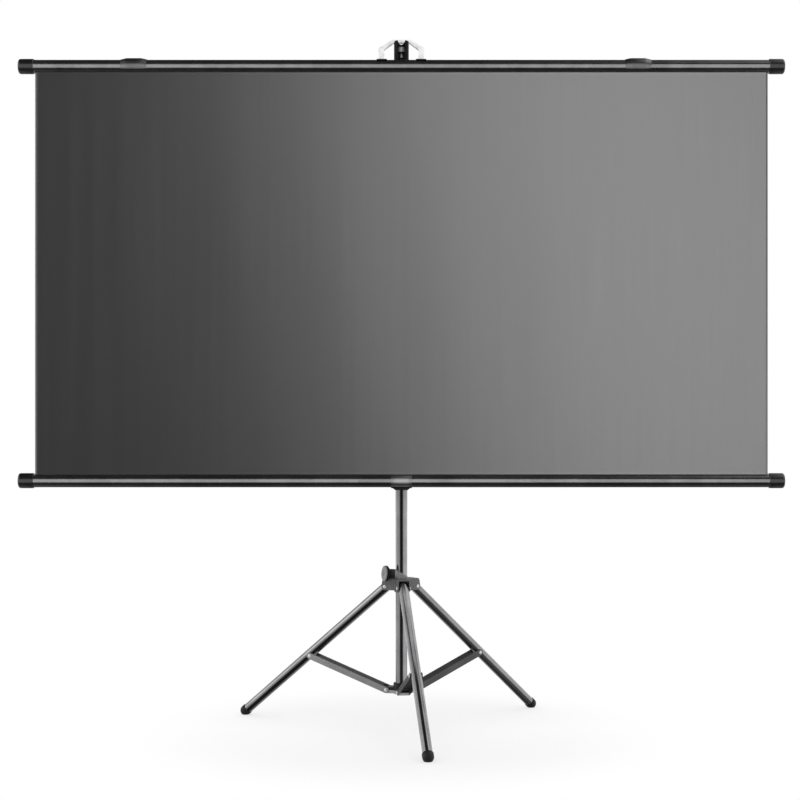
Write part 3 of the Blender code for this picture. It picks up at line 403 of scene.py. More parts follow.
@dataclass(frozen=True)
class Moulded(Finish):
    """Moulded plastic or rubber: eroded grain, flow clouding and rubbed high spots.

    Args:
        grain: The grain's pitch, as features per metre.
        depth: The grain's depth in metres.
        gloss: The shader's specular level.
    """

    CLOUD = Layer(35.0, 4.0, 0.6, shows=(0.3, 0.7), adds=0.12)
    RUBBED = Layer(120.0, 4.0, 0.7, shows=(0.56, 0.68), adds=0.08)
    FINER = 2.3
    FINE_ADDS = 0.06
    FINE_HEIGHT = 0.5
    CELL_SOFTNESS = 0.7
    GRAIN_STRENGTH = 0.5
    TONES = (0.85, 1.15)
    RUBBED_TONE = 1.7
    RUBBED_SHARE = 0.25

    grain: float = 1400.0
    depth: float = 0.000030
    gloss: float = 0.35

    def paint(self, graph: Graph) -> None:
        """Fill the material's graph."""
        cells = graph.node(
            "ShaderNodeTexVoronoi", {"feature": "SMOOTH_F1"},
            {"Vector": graph.place(), "Scale": self.grain, "Smoothness": self.CELL_SOFTNESS})
        fine = graph.noise(Layer(self.grain * self.FINER))
        cloud = graph.noise(self.CLOUD)
        rubbed = graph.noise(self.RUBBED).ramp(*self.RUBBED.shows) * self.wear.value
        tone = self.mottled(graph, cloud.ramp(*self.CLOUD.shows), self.TONES)
        tone = graph.blend(rubbed * self.RUBBED_SHARE, tone, scaled(self.colour, self.RUBBED_TONE))
        rough = (self.roughness + (cloud - NOISE_MEAN) * self.CLOUD.adds
                 - rubbed * self.RUBBED.adds + (fine - NOISE_MEAN) * self.FINE_ADDS)
        normal = graph.bump(cells + fine * self.FINE_HEIGHT, self.depth, self.GRAIN_STRENGTH)
        graph.surface({"Metallic": self.metallic, "Specular IOR Level": self.gloss},
                      {"Base Color": tone, "Roughness": rough, "Normal": normal})


@dataclass(frozen=True)
class TwoTone(Moulded):
    """A moulding that is plated or paler on one side of a line.

    Args:
        second: The second side's colour.
        second_metallic: The second side's share of metal.
        second_roughness: The second side's roughness.
        axis: Which part of the place the line is read from: 0 across, 1 in depth, 2 up.
        seam: Where the second side begins to show, and where it shows fully.
    """

    CLOUD = Layer(45.0, 4.0, 0.6, shows=(0.3, 0.7), adds=0.10)
    FINE_ADDS = 0.05
    SECOND_TONE = 0.9

    second: Colour = (0.5, 0.5, 0.5)
    second_metallic: float = 0.0
    second_roughness: float = 0.4
    axis: int = 2
    seam: Span = (0.0, 0.001)

    def second_tone(self, graph: Graph) -> Value:
        """Return the second side's colour, faintly clouded."""
        cloud = graph.noise(self.CLOUD).ramp(*self.CLOUD.shows)
        return graph.blend(cloud, scaled(self.second, self.SECOND_TONE), self.second)

    def paint(self, graph: Graph) -> None:
        """Fill the material's graph."""
        share = graph.parts(graph.place())[self.axis].ramp(*self.seam)
        fine = graph.noise(Layer(self.grain))
        cloud = graph.noise(self.CLOUD)
        own = self.mottled(graph, cloud.ramp(*self.CLOUD.shows), self.TONES)
        rough = self.roughness + share * (self.second_roughness - self.roughness)
        graph.surface(
            {"Specular IOR Level": self.gloss},
            {"Base Color": graph.blend(share, own, self.second_tone(graph)),
             "Metallic": self.metallic + share * (self.second_metallic - self.metallic),
             "Roughness": (rough + (cloud - NOISE_MEAN) * self.CLOUD.adds
                           + (fine - NOISE_MEAN) * self.FINE_ADDS),
             "Normal": graph.bump(fine, self.depth, self.GRAIN_STRENGTH)})


@dataclass(frozen=True)
class PlatedBand(TwoTone):
    """A plated band whose middle carries a painted highlight that fades to the bar's tone at both
    ends.

    Args:
        ends: The band's colour at its ends, where the painted highlight has faded out.
        painted_highlight_fade: How far from the middle the painted highlight stays full, and where it
            has faded out.
    """

    ends: Colour = (0.335, 0.330, 0.335)
    painted_highlight_fade: Span = (0.012, 0.026)

    def second_tone(self, graph: Graph) -> Value:
        """Return the band's colour: a painted highlight in its middle that fades out towards its
        ends.
        """
        across, _, _ = graph.parts(graph.place())
        # painted highlight: the plated colour fades across the band to the bar's tone at both ends
        return graph.blend(across.absolute().ramp(*self.painted_highlight_fade), self.second, self.ends)


@dataclass(frozen=True)
class BareMetal(Finish):
    """Bare or plated metal: brushed lines, a faint tarnish and small dents.

    Args:
        way: The direction of its lines.
        lines: The depth of the lines in metres.
    """

    BRUSHED = Layer(2600.0, 3.0, 0.6, length=30.0, adds=0.16)
    TARNISH = Layer(60.0, 4.0, 0.6, shows=(0.40, 0.70), adds=0.14)
    DENTS = Layer(700.0)
    DENT_DEPTH = 0.000010
    DENT_STRENGTH = 0.4
    TONES = (1.05, 0.78)

    way: Point = Way.UPRIGHT.value
    lines: float = 0.000012

    def paint(self, graph: Graph) -> None:
        """Fill the material's graph."""
        brushed = graph.noise(self.BRUSHED, self.way)
        tarnish = graph.noise(self.TARNISH)
        dents = graph.noise(self.DENTS)
        tone = self.mottled(graph, tarnish.ramp(*self.TARNISH.shows), self.TONES)
        rough = (self.roughness + (brushed - NOISE_MEAN) * self.BRUSHED.adds
                 + (tarnish - NOISE_MEAN) * self.TARNISH.adds)
        normal = graph.bump(brushed, self.lines)
        normal = graph.bump(dents, self.DENT_DEPTH, self.DENT_STRENGTH, normal)
        graph.surface({"Metallic": self.metallic},
                      {"Base Color": tone, "Roughness": rough, "Normal": normal})


@dataclass(frozen=True)
class ScreenCloth(Finish):
    """Metal-coated woven screen cloth with a pressed hem along each side.

    Args:
        half_width: Half its width in metres.
        low: The height of its lower edge.
        high: The height of its upper edge.
        hem: The width of the pressed edge in metres.
        pitch: The weave's pitch in metres.
    """

    STREAK = Layer(38.0, 3.0, 0.6, length=0.9, shows=(0.30, 0.70), adds=0.05)
    THREAD = Layer(900.0, length=3.0, adds=0.06)
    CLOUD = Layer(2.2, 3.0, 0.55)
    TONES = (0.97, 1.03)
    HEM_FULL = 0.6
    HEM_TONE = 1.5
    HEM_SHARE = 0.22
    FOLD = (0.006, 0.014)
    FOLD_SHARE = 0.5
    THREAD_HEIGHT = 0.4
    WEAVE_DEPTH = 0.00006
    WEAVE_STRENGTH = 0.35

    half_width: float = 0.93
    low: float = 0.64
    high: float = 1.67
    hem: float = 0.006
    pitch: float = 0.0011

    def paint(self, graph: Graph) -> None:
        """Fill the material's graph."""
        across, _, up = graph.parts(graph.place())
        turns = math.tau / self.pitch
        weave = (across * turns).sine() * (up * turns).sine() * 0.5 + 0.5
        streak = graph.noise(self.STREAK)
        thread = graph.noise(self.THREAD)
        cloud = graph.noise(self.CLOUD)
        inside = self.half_width - self.hem
        edge = across.absolute().ramp(inside, self.half_width - self.hem * self.HEM_FULL)
        near, far = self.FOLD
        top = up.ramp(self.high - far, self.high - near)
        foot = 1.0 - up.ramp(self.low + near, self.low + far)
        light = edge.larger(top * self.FOLD_SHARE).larger(foot * self.FOLD_SHARE)
        tone = self.mottled(graph, streak.ramp(*self.STREAK.shows), self.TONES)
        tone = graph.blend(cloud.ramp(*self.CLOUD.shows), tone, self.colour)
        tone = graph.blend(light * self.HEM_SHARE, tone, scaled(self.colour, self.HEM_TONE))
        rough = (self.roughness + (streak - NOISE_MEAN) * self.STREAK.adds
                 + (thread - NOISE_MEAN) * self.THREAD.adds)
        normal = graph.bump(weave + thread * self.THREAD_HEIGHT, self.WEAVE_DEPTH,
                            self.WEAVE_STRENGTH)
        graph.surface({"Metallic": self.metallic},
                      {"Base Color": tone, "Roughness": rough, "Normal": normal})


def smooth_node(node: bpy.types.Object) -> None:
    """Shade a CAD node smooth and keep its sharp edges.

    Args:
        node: The CAD node.
    """
    node.data.polygons.foreach_set("use_smooth", [True] * len(node.data.polygons))
    weld = node.modifiers.new("weld", "WELD")
    weld.merge_threshold = WELD_DISTANCE
    split = node.modifiers.new("sharp", "EDGE_SPLIT")
    split.split_angle = math.radians(SHARP_DEGREES)
    split.use_edge_sharp = False


def placed(name: str, shape: bmesh.types.BMesh) -> bpy.types.Object:
    """Put a finished shape into the scene as an object.

    Args:
        name: The object's name.
        shape: Its mesh, which is used up.

    Returns:
        The object.
    """
    mesh = bpy.data.meshes.new(name)
    bmesh.ops.recalc_face_normals(shape, faces=shape.faces)
    shape.to_mesh(mesh)
    shape.free()
    made = bpy.data.objects.new(name, mesh)
    bpy.context.scene.collection.objects.link(made)
    return made


def new_piece(name: str, shape: bmesh.types.BMesh, material: bpy.types.Material,
              body: str) -> bpy.types.Object:
    """Make a piece from a finished shape and put it on a body.

    Args:
        name: The piece's name.
        shape: Its mesh, in the frame's own place.
        material: Its material.
        body: The body that it rides on.

    Returns:
        The piece.
    """
    piece = placed(name, shape)
    piece.data.materials.append(material)
    piece.data.polygons.foreach_set("use_smooth", [True] * len(piece.data.polygons))
    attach(piece, body)
    return piece


def joined(first: bmesh.types.BMesh, second: bmesh.types.BMesh) -> bmesh.types.BMesh:
    """Join two closed shapes into one.

    Args:
        first: The first shape, which is used up.
        second: The second shape, which is used up.

    Returns:
        The shape of both.
    """
    forms = [placed("form", shape) for shape in (first, second)]
    union = forms[0].modifiers.new("union", "BOOLEAN")
    union.operation = "UNION"
    union.solver = "EXACT"
    union.object = forms[1]
    bpy.context.view_layer.update()
    result = bmesh.new()
    result.from_object(forms[0], bpy.context.evaluated_depsgraph_get())
    for form in forms:
        bpy.data.objects.remove(form, do_unlink=True)
    return result


Dressing = tuple[tuple[Finish, tuple[str, ...]], ...]


@dataclass
class SubAssembly:
    """A group of pieces that are built and dressed together."""

    def build(self) -> None:
        """Make the pieces that the CAD frame leaves to the scene."""

    def finishes(self) -> Dressing:
        """Return each finish with its CAD nodes."""
        return ()

    def dress(self) -> None:
        """Give the group's CAD nodes their finishes."""
        for finish, names in self.finishes():
            material = finish.material()
            for name in names:
                node = frame["nodes"][name]
                node.data.materials.clear()
                node.data.materials.append(material)
                smooth_node(node)
            LOG.info("%s: %s", finish.name, ", ".join(names))


@dataclass
class Fabric(SubAssembly):
    """The stretched screen fabric and the beads that hold it.

    Args:
        thickness: The cloth's thickness in metres.
        hem_width, hem_extra: The folded edge's width, and what it adds on each face.
        hem_full: The share of the hem's width that is thicker.
        near: The grid lines beside each edge, as shares of the hem's width.
        columns, rows: Cells across and up.
        ripple: The height of its faint upright ripples.
        waves: Each ripple's turn per metre across and up, its start and its share.
        colour, roughness, metallic: The cloth's finish.
        bead: The beads' colour.
    """

    thickness: float = 0.0005
    hem_width: float = 0.0060
    hem_extra: float = 0.00015
    hem_full: float = 0.95
    near: tuple[float, ...] = (0.0, 0.8, 0.9, 1.0, 1.1)
    columns: int = 120
    rows: int = 40
    ripple: float = 0.0004
    waves: tuple[tuple[float, ...], ...] = ((9.1, 0.0, 0.6, 0.6), (23.0, 1.7, 0.0, 0.4))
    colour: Colour = (0.272, 0.271, 0.272)
    roughness: float = 0.33
    metallic: float = 0.96
    bead: Colour = (0.42, 0.42, 0.42)

    def _lines(self, low: float, high: float, count: int) -> list[float]:
        """Return even grid lines with extra ones at both edges.

        Args:
            low: The first line.
            high: The last line.
            count: Cells between both edges.

        Returns:
            The lines.
        """
        edge = self.hem_width
        near = [edge * share for share in self.near]
        inner = [low + edge + (high - low - 2 * edge) * i / count for i in range(1, count)]
        return [low + reach for reach in near] + inner + [high - reach for reach in reversed(near)]

    def build(self) -> None:
        """Weave the sheet between both beads."""
        low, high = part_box("screen_fabric")
        middle = (low + high) / 2
        half = (high.x - low.x) / 2
        finish = ScreenCloth("screen_cloth", self.colour, self.roughness, self.metallic,
                             Wear.FRESH, half, low.z, high.z, self.hem_width)
        across = self._lines(low.x, high.x, self.columns)
        up = self._lines(low.z, high.z, self.rows)
        shape = bmesh.new()
        faces: list[list[list[bmesh.types.BMVert]]] = []
        for side in (-1.0, 1.0):
            grid = []
            for z in up:
                held = math.sin(math.pi * (z - low.z) / (high.z - low.z))
                row = []
                for x in across:
                    wave = sum(share * math.sin(x * along + z * rising + start)
                               for along, rising, start, share in self.waves)
                    thick = half - abs(x) < self.hem_width * self.hem_full
                    hem = self.hem_extra if thick else 0.0
                    depth = side * (self.thickness / 2 + hem) + wave * self.ripple * held
                    row.append(shape.verts.new((x, middle.y + depth, z)))
                grid.append(row)
            faces.append(grid)
        self._close(shape, faces)
        sheet = new_piece("stretched_fabric", shape, finish.material(), "mast")
        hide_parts("screen_fabric")
        length = high.z - low.z
        travel = next(j for j in frame["joints"] if j["name"] == "mast_extend")["range_m"]
        keep = (length - max(abs(travel[0]), abs(travel[1]))) / length
        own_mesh(sheet)
        LOG.info("stretched_fabric: %d by %d cells", self.columns, self.rows)

    @staticmethod
    def _close(shape: bmesh.types.BMesh, faces: list[list[list[bmesh.types.BMVert]]]) -> None:
        """Join the front and back grids into one closed sheet.

        Args:
            shape: The mesh to fill.
            faces: The vertices of both grids, by side, row and column.
        """
        for grid in faces:
            for lower, upper in zip(grid, grid[1:]):
                for i in range(len(lower) - 1):
                    shape.faces.new((lower[i], lower[i + 1], upper[i + 1], upper[i]))
        front, back = faces
        for i in range(len(front[0]) - 1):
            for end in (0, -1):
                shape.faces.new((front[end][i], front[end][i + 1], back[end][i + 1], back[end][i]))
        for j in range(len(front) - 1):
            for end in (0, -1):
                shape.faces.new((front[j][end], front[j + 1][end], back[j + 1][end], back[j][end]))

    def finishes(self) -> Dressing:
        """Return each finish with its CAD nodes."""
        bead = Moulded("bead_plastic", self.bead, roughness=0.45)
        return ((bead, ("top_bead", "bottom_bead")),)


@dataclass
class Bars(SubAssembly):
    """Both slotted bars with their caps.

    Args:
        bar, cap: Their colours.
    """

    bar: Colour = (0.335, 0.330, 0.335)
    cap: Colour = (0.004, 0.004, 0.006)

    def finishes(self) -> Dressing:
        """Return each finish with its CAD nodes."""
        bar = Lacquer("bar_lacquer", self.bar, roughness=0.22, metallic=1.0, wear=Wear.FRESH,
                      way=Way.ACROSS.value, coat=0.0)
        cap = Moulded("cap_plastic", self.cap, roughness=0.28, grain=1800.0, depth=0.000008,
                      gloss=0.95)
        return ((bar, ("top_bar", "bottom_bar")),
                (cap, ("top_cap_left", "top_cap_right", "bottom_cap_left", "bottom_cap_right")))


@dataclass
class Clips(SubAssembly):
    """The hanging clips: sprung shells round the upper bar, with tapered ends and a holed tab behind.

    Args:
        sides: The clips' names.
        gap: The shell's gap to the bar.
        skin, lip: The shell's thickness, and that at both ends.
        taper: The length of its taper at each end.
        front, back: The angles of its lips in degrees, from straight ahead and over the top.
        tab: The tab's width, thickness and height.
        tab_drop, tab_corner: How far it starts below the bar's axis, and its corners' radius.
        hole, hole_drop: The radius of its hole, and how far that lies below the tab's top.
        stations, turns, corner_steps: Steps along each taper, round the shell and on a corner.
        sharp: The least angle in degrees of an edge that stays sharp.
        colour: The lacquer's colour.
    """

    sides: tuple[str, ...] = ("left", "right")
    gap: float = 0.0003
    skin: float = 0.0040
    lip: float = 0.0007
    taper: float = 0.0145
    front: float = -24.0
    back: float = 214.0
    tab: tuple[float, float, float] = (0.0240, 0.0030, 0.0300)
    tab_drop: float = 0.0100
    tab_corner: float = 0.0050
    hole: float = 0.0045
    hole_drop: float = 0.0090
    stations: int = 14
    turns: int = 28
    corner_steps: int = 8
    sharp: float = 40.0
    colour: Colour = (0.210, 0.208, 0.213)

    def build(self) -> None:
        """Make both clips round the upper bar."""
        material = Lacquer("clip_lacquer", self.colour, roughness=0.34, metallic=1.0,
                           way=Way.ACROSS.value, coat=0.1).material()
        low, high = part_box("top_bar")
        axis = (low + high) / 2
        radius = (high.z - low.z) / 2
        for side in self.sides:
            node = "hanging_clip_" + side
            low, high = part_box(node)
            middle = (low.x + high.x) / 2
            shell = bmesh.new()
            self._shell(shell, Vector((middle, axis.y, axis.z)), (high.x - low.x) / 2, radius)
            tab = bmesh.new()
            self._tab(tab, Vector((middle, high.y - self.tab[1], axis.z)))
            clip = new_piece("clip_shell_" + side, joined(shell, tab), material, "clip_" + side)
            clip.data.set_sharp_from_angle(angle=math.radians(self.sharp))
            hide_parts(node)
            LOG.info("clip_shell_%s", side)

    def _shell(self, shape: bmesh.types.BMesh, centre: Vector, half: float, radius: float) -> None:
        """Loft the shell along the bar, thinner towards both ends.

        Args:
            shape: The mesh to add to.
            centre: The point of the bar's axis at the clip's middle.
            half: Half the clip's length.
            radius: The bar's radius.
        """
        ends = [self.taper * i / self.stations for i in range(self.stations + 1)]
        places = [-half + reach for reach in ends] + [half - reach for reach in reversed(ends)]
        inside = radius + self.gap
        sweep = self.back - self.front
        angles = [math.radians(self.front + sweep * i / self.turns) for i in range(self.turns + 1)]
        rings = []
        for x in places:
            share = min(1.0, (half - abs(x)) / self.taper)
            outside = inside + self.lip + (self.skin - self.lip) * share
            ring = [(x, -inside * math.cos(a), inside * math.sin(a)) for a in angles]
            ring += [(x, -outside * math.cos(a), outside * math.sin(a)) for a in reversed(angles)]
            rings.append([shape.verts.new(centre + Vector(point)) for point in ring])
        for first, second in zip(rings, rings[1:]):
            for i in range(len(first)):
                j = (i + 1) % len(first)
                shape.faces.new((first[i], first[j], second[j], second[i]))
        for ring in (rings[0], rings[-1]):
            for i in range(self.turns):
                shape.faces.new((ring[i], ring[i + 1], ring[-2 - i], ring[-1 - i]))

    def _tab(self, shape: bmesh.types.BMesh, place: Vector) -> None:
        """Add the holed tab with its rounded corners.

        Args:
            shape: The mesh to add to.
            place: The middle of its front face, at the height of the bar's axis.
        """
        width, depth, height = self.tab
        top = height - self.tab_drop
        eye = top - self.hole_drop
        outline = []
        corners = ((width / 2, top, 0.0), (-width / 2, top, 90.0),
                   (-width / 2, -self.tab_drop, 180.0), (width / 2, -self.tab_drop, 270.0))
        for across, up, start in corners:
            middle_x = across - math.copysign(self.tab_corner, across)
            middle_z = up - math.copysign(self.tab_corner, up)
            for i in range(self.corner_steps):
                turn = math.radians(start + 90.0 * i / (self.corner_steps - 1))
                outline.append((middle_x + self.tab_corner * math.cos(turn),
                                middle_z + self.tab_corner * math.sin(turn)))
        aims = [math.atan2(z - eye, x) for x, z in outline]
        round_hole = [(self.hole * math.cos(aim), eye + self.hole * math.sin(aim)) for aim in aims]
        loops = []
        for y in (0.0, depth):
            outer = [shape.verts.new(place + Vector((x, y, z))) for x, z in outline]
            inner = [shape.verts.new(place + Vector((x, y, z))) for x, z in round_hole]
            loops.append((outer, inner))
        (front_outer, front_inner), (back_outer, back_inner) = loops
        pairs = ((front_outer, front_inner), (back_outer, back_inner),
                 (front_outer, back_outer), (front_inner, back_inner))
        for i in range(len(outline)):
            j = (i + 1) % len(outline)
            for first, second in pairs:
                shape.faces.new((first[i], first[j], second[j], second[i]))


@dataclass
class MastHead(SubAssembly):
    """The mast's head, the bail that carries the folded screen, its brackets and its pins.

    Args:
        plastic, bail, pin: The colours of the head and brackets, the bail and its pins.
    """

    plastic: Colour = (0.004, 0.004, 0.005)
    bail: Colour = (0.93, 0.93, 0.945)
    pin: Colour = (0.62, 0.62, 0.64)

    def finishes(self) -> Dressing:
        """Return each finish with its CAD nodes."""
        head = Moulded("head_plastic", self.plastic, roughness=0.45, gloss=0.10)
        bail = BareMetal("bail_metal", self.bail, roughness=0.45, metallic=0.05,
                         way=Way.ACROSS.value)
        pin = BareMetal("pin_steel", self.pin, roughness=0.26, metallic=1.0, way=Way.ACROSS.value)
        return ((head, ("mast_head", "bail_bracket_left", "bail_bracket_right")),
                (bail, ("carry_bail",)), (pin, ("bail_pin_left", "bail_pin_right")))


@dataclass
class Mast(SubAssembly):
    """The column and the telescoping mast with its bush, clamp and cradle of the lower bar.

    Args:
        tube, inner, bush, plastic, plated: The colours of both outer tubes, the inner mast, its
            bush, the clamp with the cradle, and the cradle's band.
        seam_rise: How far the band's lower edge lies above the lower bar's underside.
        seam_half: Half the height over which the band comes in.
    """

    tube: Colour = (0.330, 0.330, 0.338)
    inner: Colour = (0.55, 0.55, 0.57)
    bush: Colour = (0.26, 0.26, 0.27)
    plastic: Colour = (0.008, 0.008, 0.009)
    plated: Colour = (0.50, 0.50, 0.50)
    seam_rise: float = 0.0035
    seam_half: float = 0.001

    def finishes(self) -> Dressing:
        """Return each finish with its CAD nodes."""
        tube = Lacquer("mast_lacquer", self.tube, roughness=0.17, metallic=1.0)
        inner = BareMetal("inner_mast_metal", self.inner, roughness=0.38, metallic=0.8)
        bush = Moulded("bush_nylon", self.bush, roughness=0.5)
        clamp = Moulded("clamp_plastic", self.plastic, roughness=0.36)
        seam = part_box("bottom_bar")[0].z + self.seam_rise
        cradle = PlatedBand("cradle_band", self.plastic, roughness=0.40, grain=2200.0,
                            depth=0.000004, gloss=0.12, second=self.plated, second_metallic=1.0,
                            second_roughness=0.32,
                            seam=(seam - self.seam_half, seam + self.seam_half))
        return ((tube, ("mast_tube", "column_tube")), (inner, ("inner_mast",)),
                (bush, ("mast_bush",)), (clamp, ("mast_clamp", "cradle_screw")),
                (cradle, ("bar_cradle",)))


@dataclass
class Knobs(SubAssembly):
    """The clamping knobs of the mast and of the leg collar.

    Args:
        prefixes: The start of each knob's node names.
        body, face, stud: The colours of their parts.
    """

    prefixes: tuple[str, ...] = ("leg_knob", "mast_knob")
    body: Colour = (0.008, 0.008, 0.009)
    face: Colour = (0.20, 0.20, 0.207)
    stud: Colour = (0.030, 0.030, 0.032)

    def finishes(self) -> Dressing:
        """Return each finish with its CAD nodes."""
        parts = {
            "": Moulded("knob_plastic", self.body, roughness=0.42, grain=1500.0, gloss=0.15),
            "_face": Moulded("knob_face_plastic", self.face, roughness=0.38, grain=2000.0,
                             depth=0.000015),
            "_stud": BareMetal("blackened_stud_steel", self.stud, roughness=0.42, metallic=0.8)}
        return tuple((finish, tuple(prefix + end for prefix in self.prefixes))
                     for end, finish in parts.items())


@dataclass
class Tripod(SubAssembly):
    """The legs, struts, collar and foot hub.

    Args:
        sides: The legs' names.
        rivets: The names of each leg's rivets and pins.
        tube, strut, collar, hub, rubber, steel: The colours of the legs, struts, leg collar,
            foot hub, feet and rivets.
        clamp, clamp_seam: The clamp ring's second colour, and where it comes in.
        base, base_rise: The colour and height of the hub's lower band.
        seam_half: Half the height over which that band ends.
    """

    sides: tuple[str, ...] = ("front", "right", "left")
    rivets: tuple[str, ...] = ("leg_pin_%s", "hub_rivet_%s", "strut_rivet_%s_left",
                               "strut_rivet_%s_right")
    tube: Colour = (0.330, 0.330, 0.338)
    strut: Colour = (0.050, 0.050, 0.052)
    collar: Colour = (0.125, 0.125, 0.129)
    clamp: Colour = (0.240, 0.240, 0.245)
    clamp_seam: Span = (-0.0170, -0.0150)
    hub: Colour = (0.016, 0.016, 0.017)
    base: Colour = (0.360, 0.360, 0.365)
    base_rise: float = 0.0088
    seam_half: float = 0.0006
    rubber: Colour = (0.015, 0.015, 0.016)
    steel: Colour = (0.94, 0.94, 0.95)

    def _way(self, name: str) -> Point:
        """Return the long direction of a leg or strut, from its box.

        Args:
            name: The CAD node.

        Returns:
            The direction of its long axis.
        """
        low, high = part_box(name)
        column_low, column_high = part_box("column_tube")
        size = high - low
        apart = (low + high) / 2 - (column_low + column_high) / 2
        fall = size.z if name.startswith("strut") else -size.z
        outward = Vector((math.copysign(size.x, apart.x), math.copysign(size.y, apart.y), fall))
        return tuple(outward.normalized())

    def finishes(self) -> Dressing:
        """Return each finish with its CAD nodes."""
        rubber = Moulded("foot_rubber", self.rubber, roughness=0.55, grain=900.0, depth=0.00005)
        rivet = BareMetal("rivet_steel", self.steel, roughness=0.34, metallic=0.5,
                          way=Way.DEPTH.value)
        collar = Moulded("collar_plastic", self.collar, roughness=0.40, grain=1500.0)
        clamp = TwoTone("clamp_plastic_two_tone", self.hub, roughness=0.38, grain=1500.0,
                        second=self.clamp, axis=0, seam=self.clamp_seam)
        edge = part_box("foot_hub")[0].z + self.base_rise
        hub = TwoTone("hub_plastic", self.base, roughness=0.42, grain=1500.0, second=self.hub,
                      second_roughness=0.38, seam=(edge - self.seam_half, edge + self.seam_half))
        found: list[tuple[Finish, tuple[str, ...]]] = [
            (collar, ("leg_collar",)), (clamp, ("clamp_ring",)), (hub, ("foot_hub",)),
            (rubber, tuple("foot_" + side for side in self.sides)),
            (rivet, tuple(name % side for side in self.sides for name in self.rivets))]
        for side in self.sides:
            leg, strut = "leg_tube_" + side, "strut_" + side
            found.append((Lacquer("leg_lacquer_" + side, self.tube, roughness=0.18, metallic=1.0,
                                  way=self._way(leg)), (leg,)))
            found.append((Lacquer("strut_lacquer_" + side, self.strut, roughness=0.48,
                                  metallic=0.10, wear=Wear.FRESH, way=self._way(strut), coat=0.0,
                                  gloss=0.15, lines=0.0000003, peel=0.0000008), (strut,)))
        return tuple(found)


class Seen(Enum):
    """What a reflection shows round the studio."""

    FRONT = 0.018
    LEFT = 0.66
    RIGHT = 1.05
    BACKDROP = 1.0


@dataclass(frozen=True)
class Panel:
    """A pale panel that only reflections show, placed by parts of their unit direction.

    Args:
        enters: The span of the first part over which it comes in.
        ends: The span of the height over which it ends.
        shades: The span of the second part over which its level changes.
        levels: Its level before and after that span.
    """

    enters: Span
    ends: Span
    shades: Span
    levels: Span

    def light(self, first: Value, second: Value, height: Value) -> Value:
        """Return how light the panel is."""
        kept = first.ramp(*self.enters) * (1.0 - height.ramp(*self.ends))
        return kept * second.ramp(*self.shades, *self.levels)


@dataclass(frozen=True)
class Lamp:
    """A soft rectangular lamp.

    Args:
        name: The lamp's name.
        place: Where it stands.
        aim: The point that it faces.
        size: Its width and height in metres.
        power: Its power in watts.
        lights: The CAD nodes or pieces that it lights, or all when empty.
        roll: Its turn in degrees about the line to its aim.
    """

    name: str
    place: Point
    aim: Point
    size: tuple[float, float]
    power: float
    lights: tuple[str, ...] = ()
    roll: float = 0.0

    def build(self) -> None:
        """Put the lamp in the studio."""
        data = bpy.data.lights.new(self.name, "AREA")
        data.shape = "RECTANGLE"
        data.size, data.size_y = self.size
        data.energy = self.power
        lamp = bpy.data.objects.new(self.name, data)
        lamp.location = self.place
        lamp.rotation_mode = "QUATERNION"
        facing = (Vector(self.aim) - Vector(self.place)).to_track_quat("-Z", "Y")
        lamp.rotation_quaternion = facing @ Quaternion((0.0, 0.0, 1.0), math.radians(self.roll))
        lamp.visible_camera = False
        bpy.context.scene.collection.objects.link(lamp)
        if self.lights:
            group = bpy.data.collections.new(self.name + "_lights")
            for name in self.lights:
                group.objects.link(bpy.data.objects.get(name) or frame["nodes"][name])
            lamp.light_linking.receiver_collection = group
        LOG.info("lamp %s", self.name)


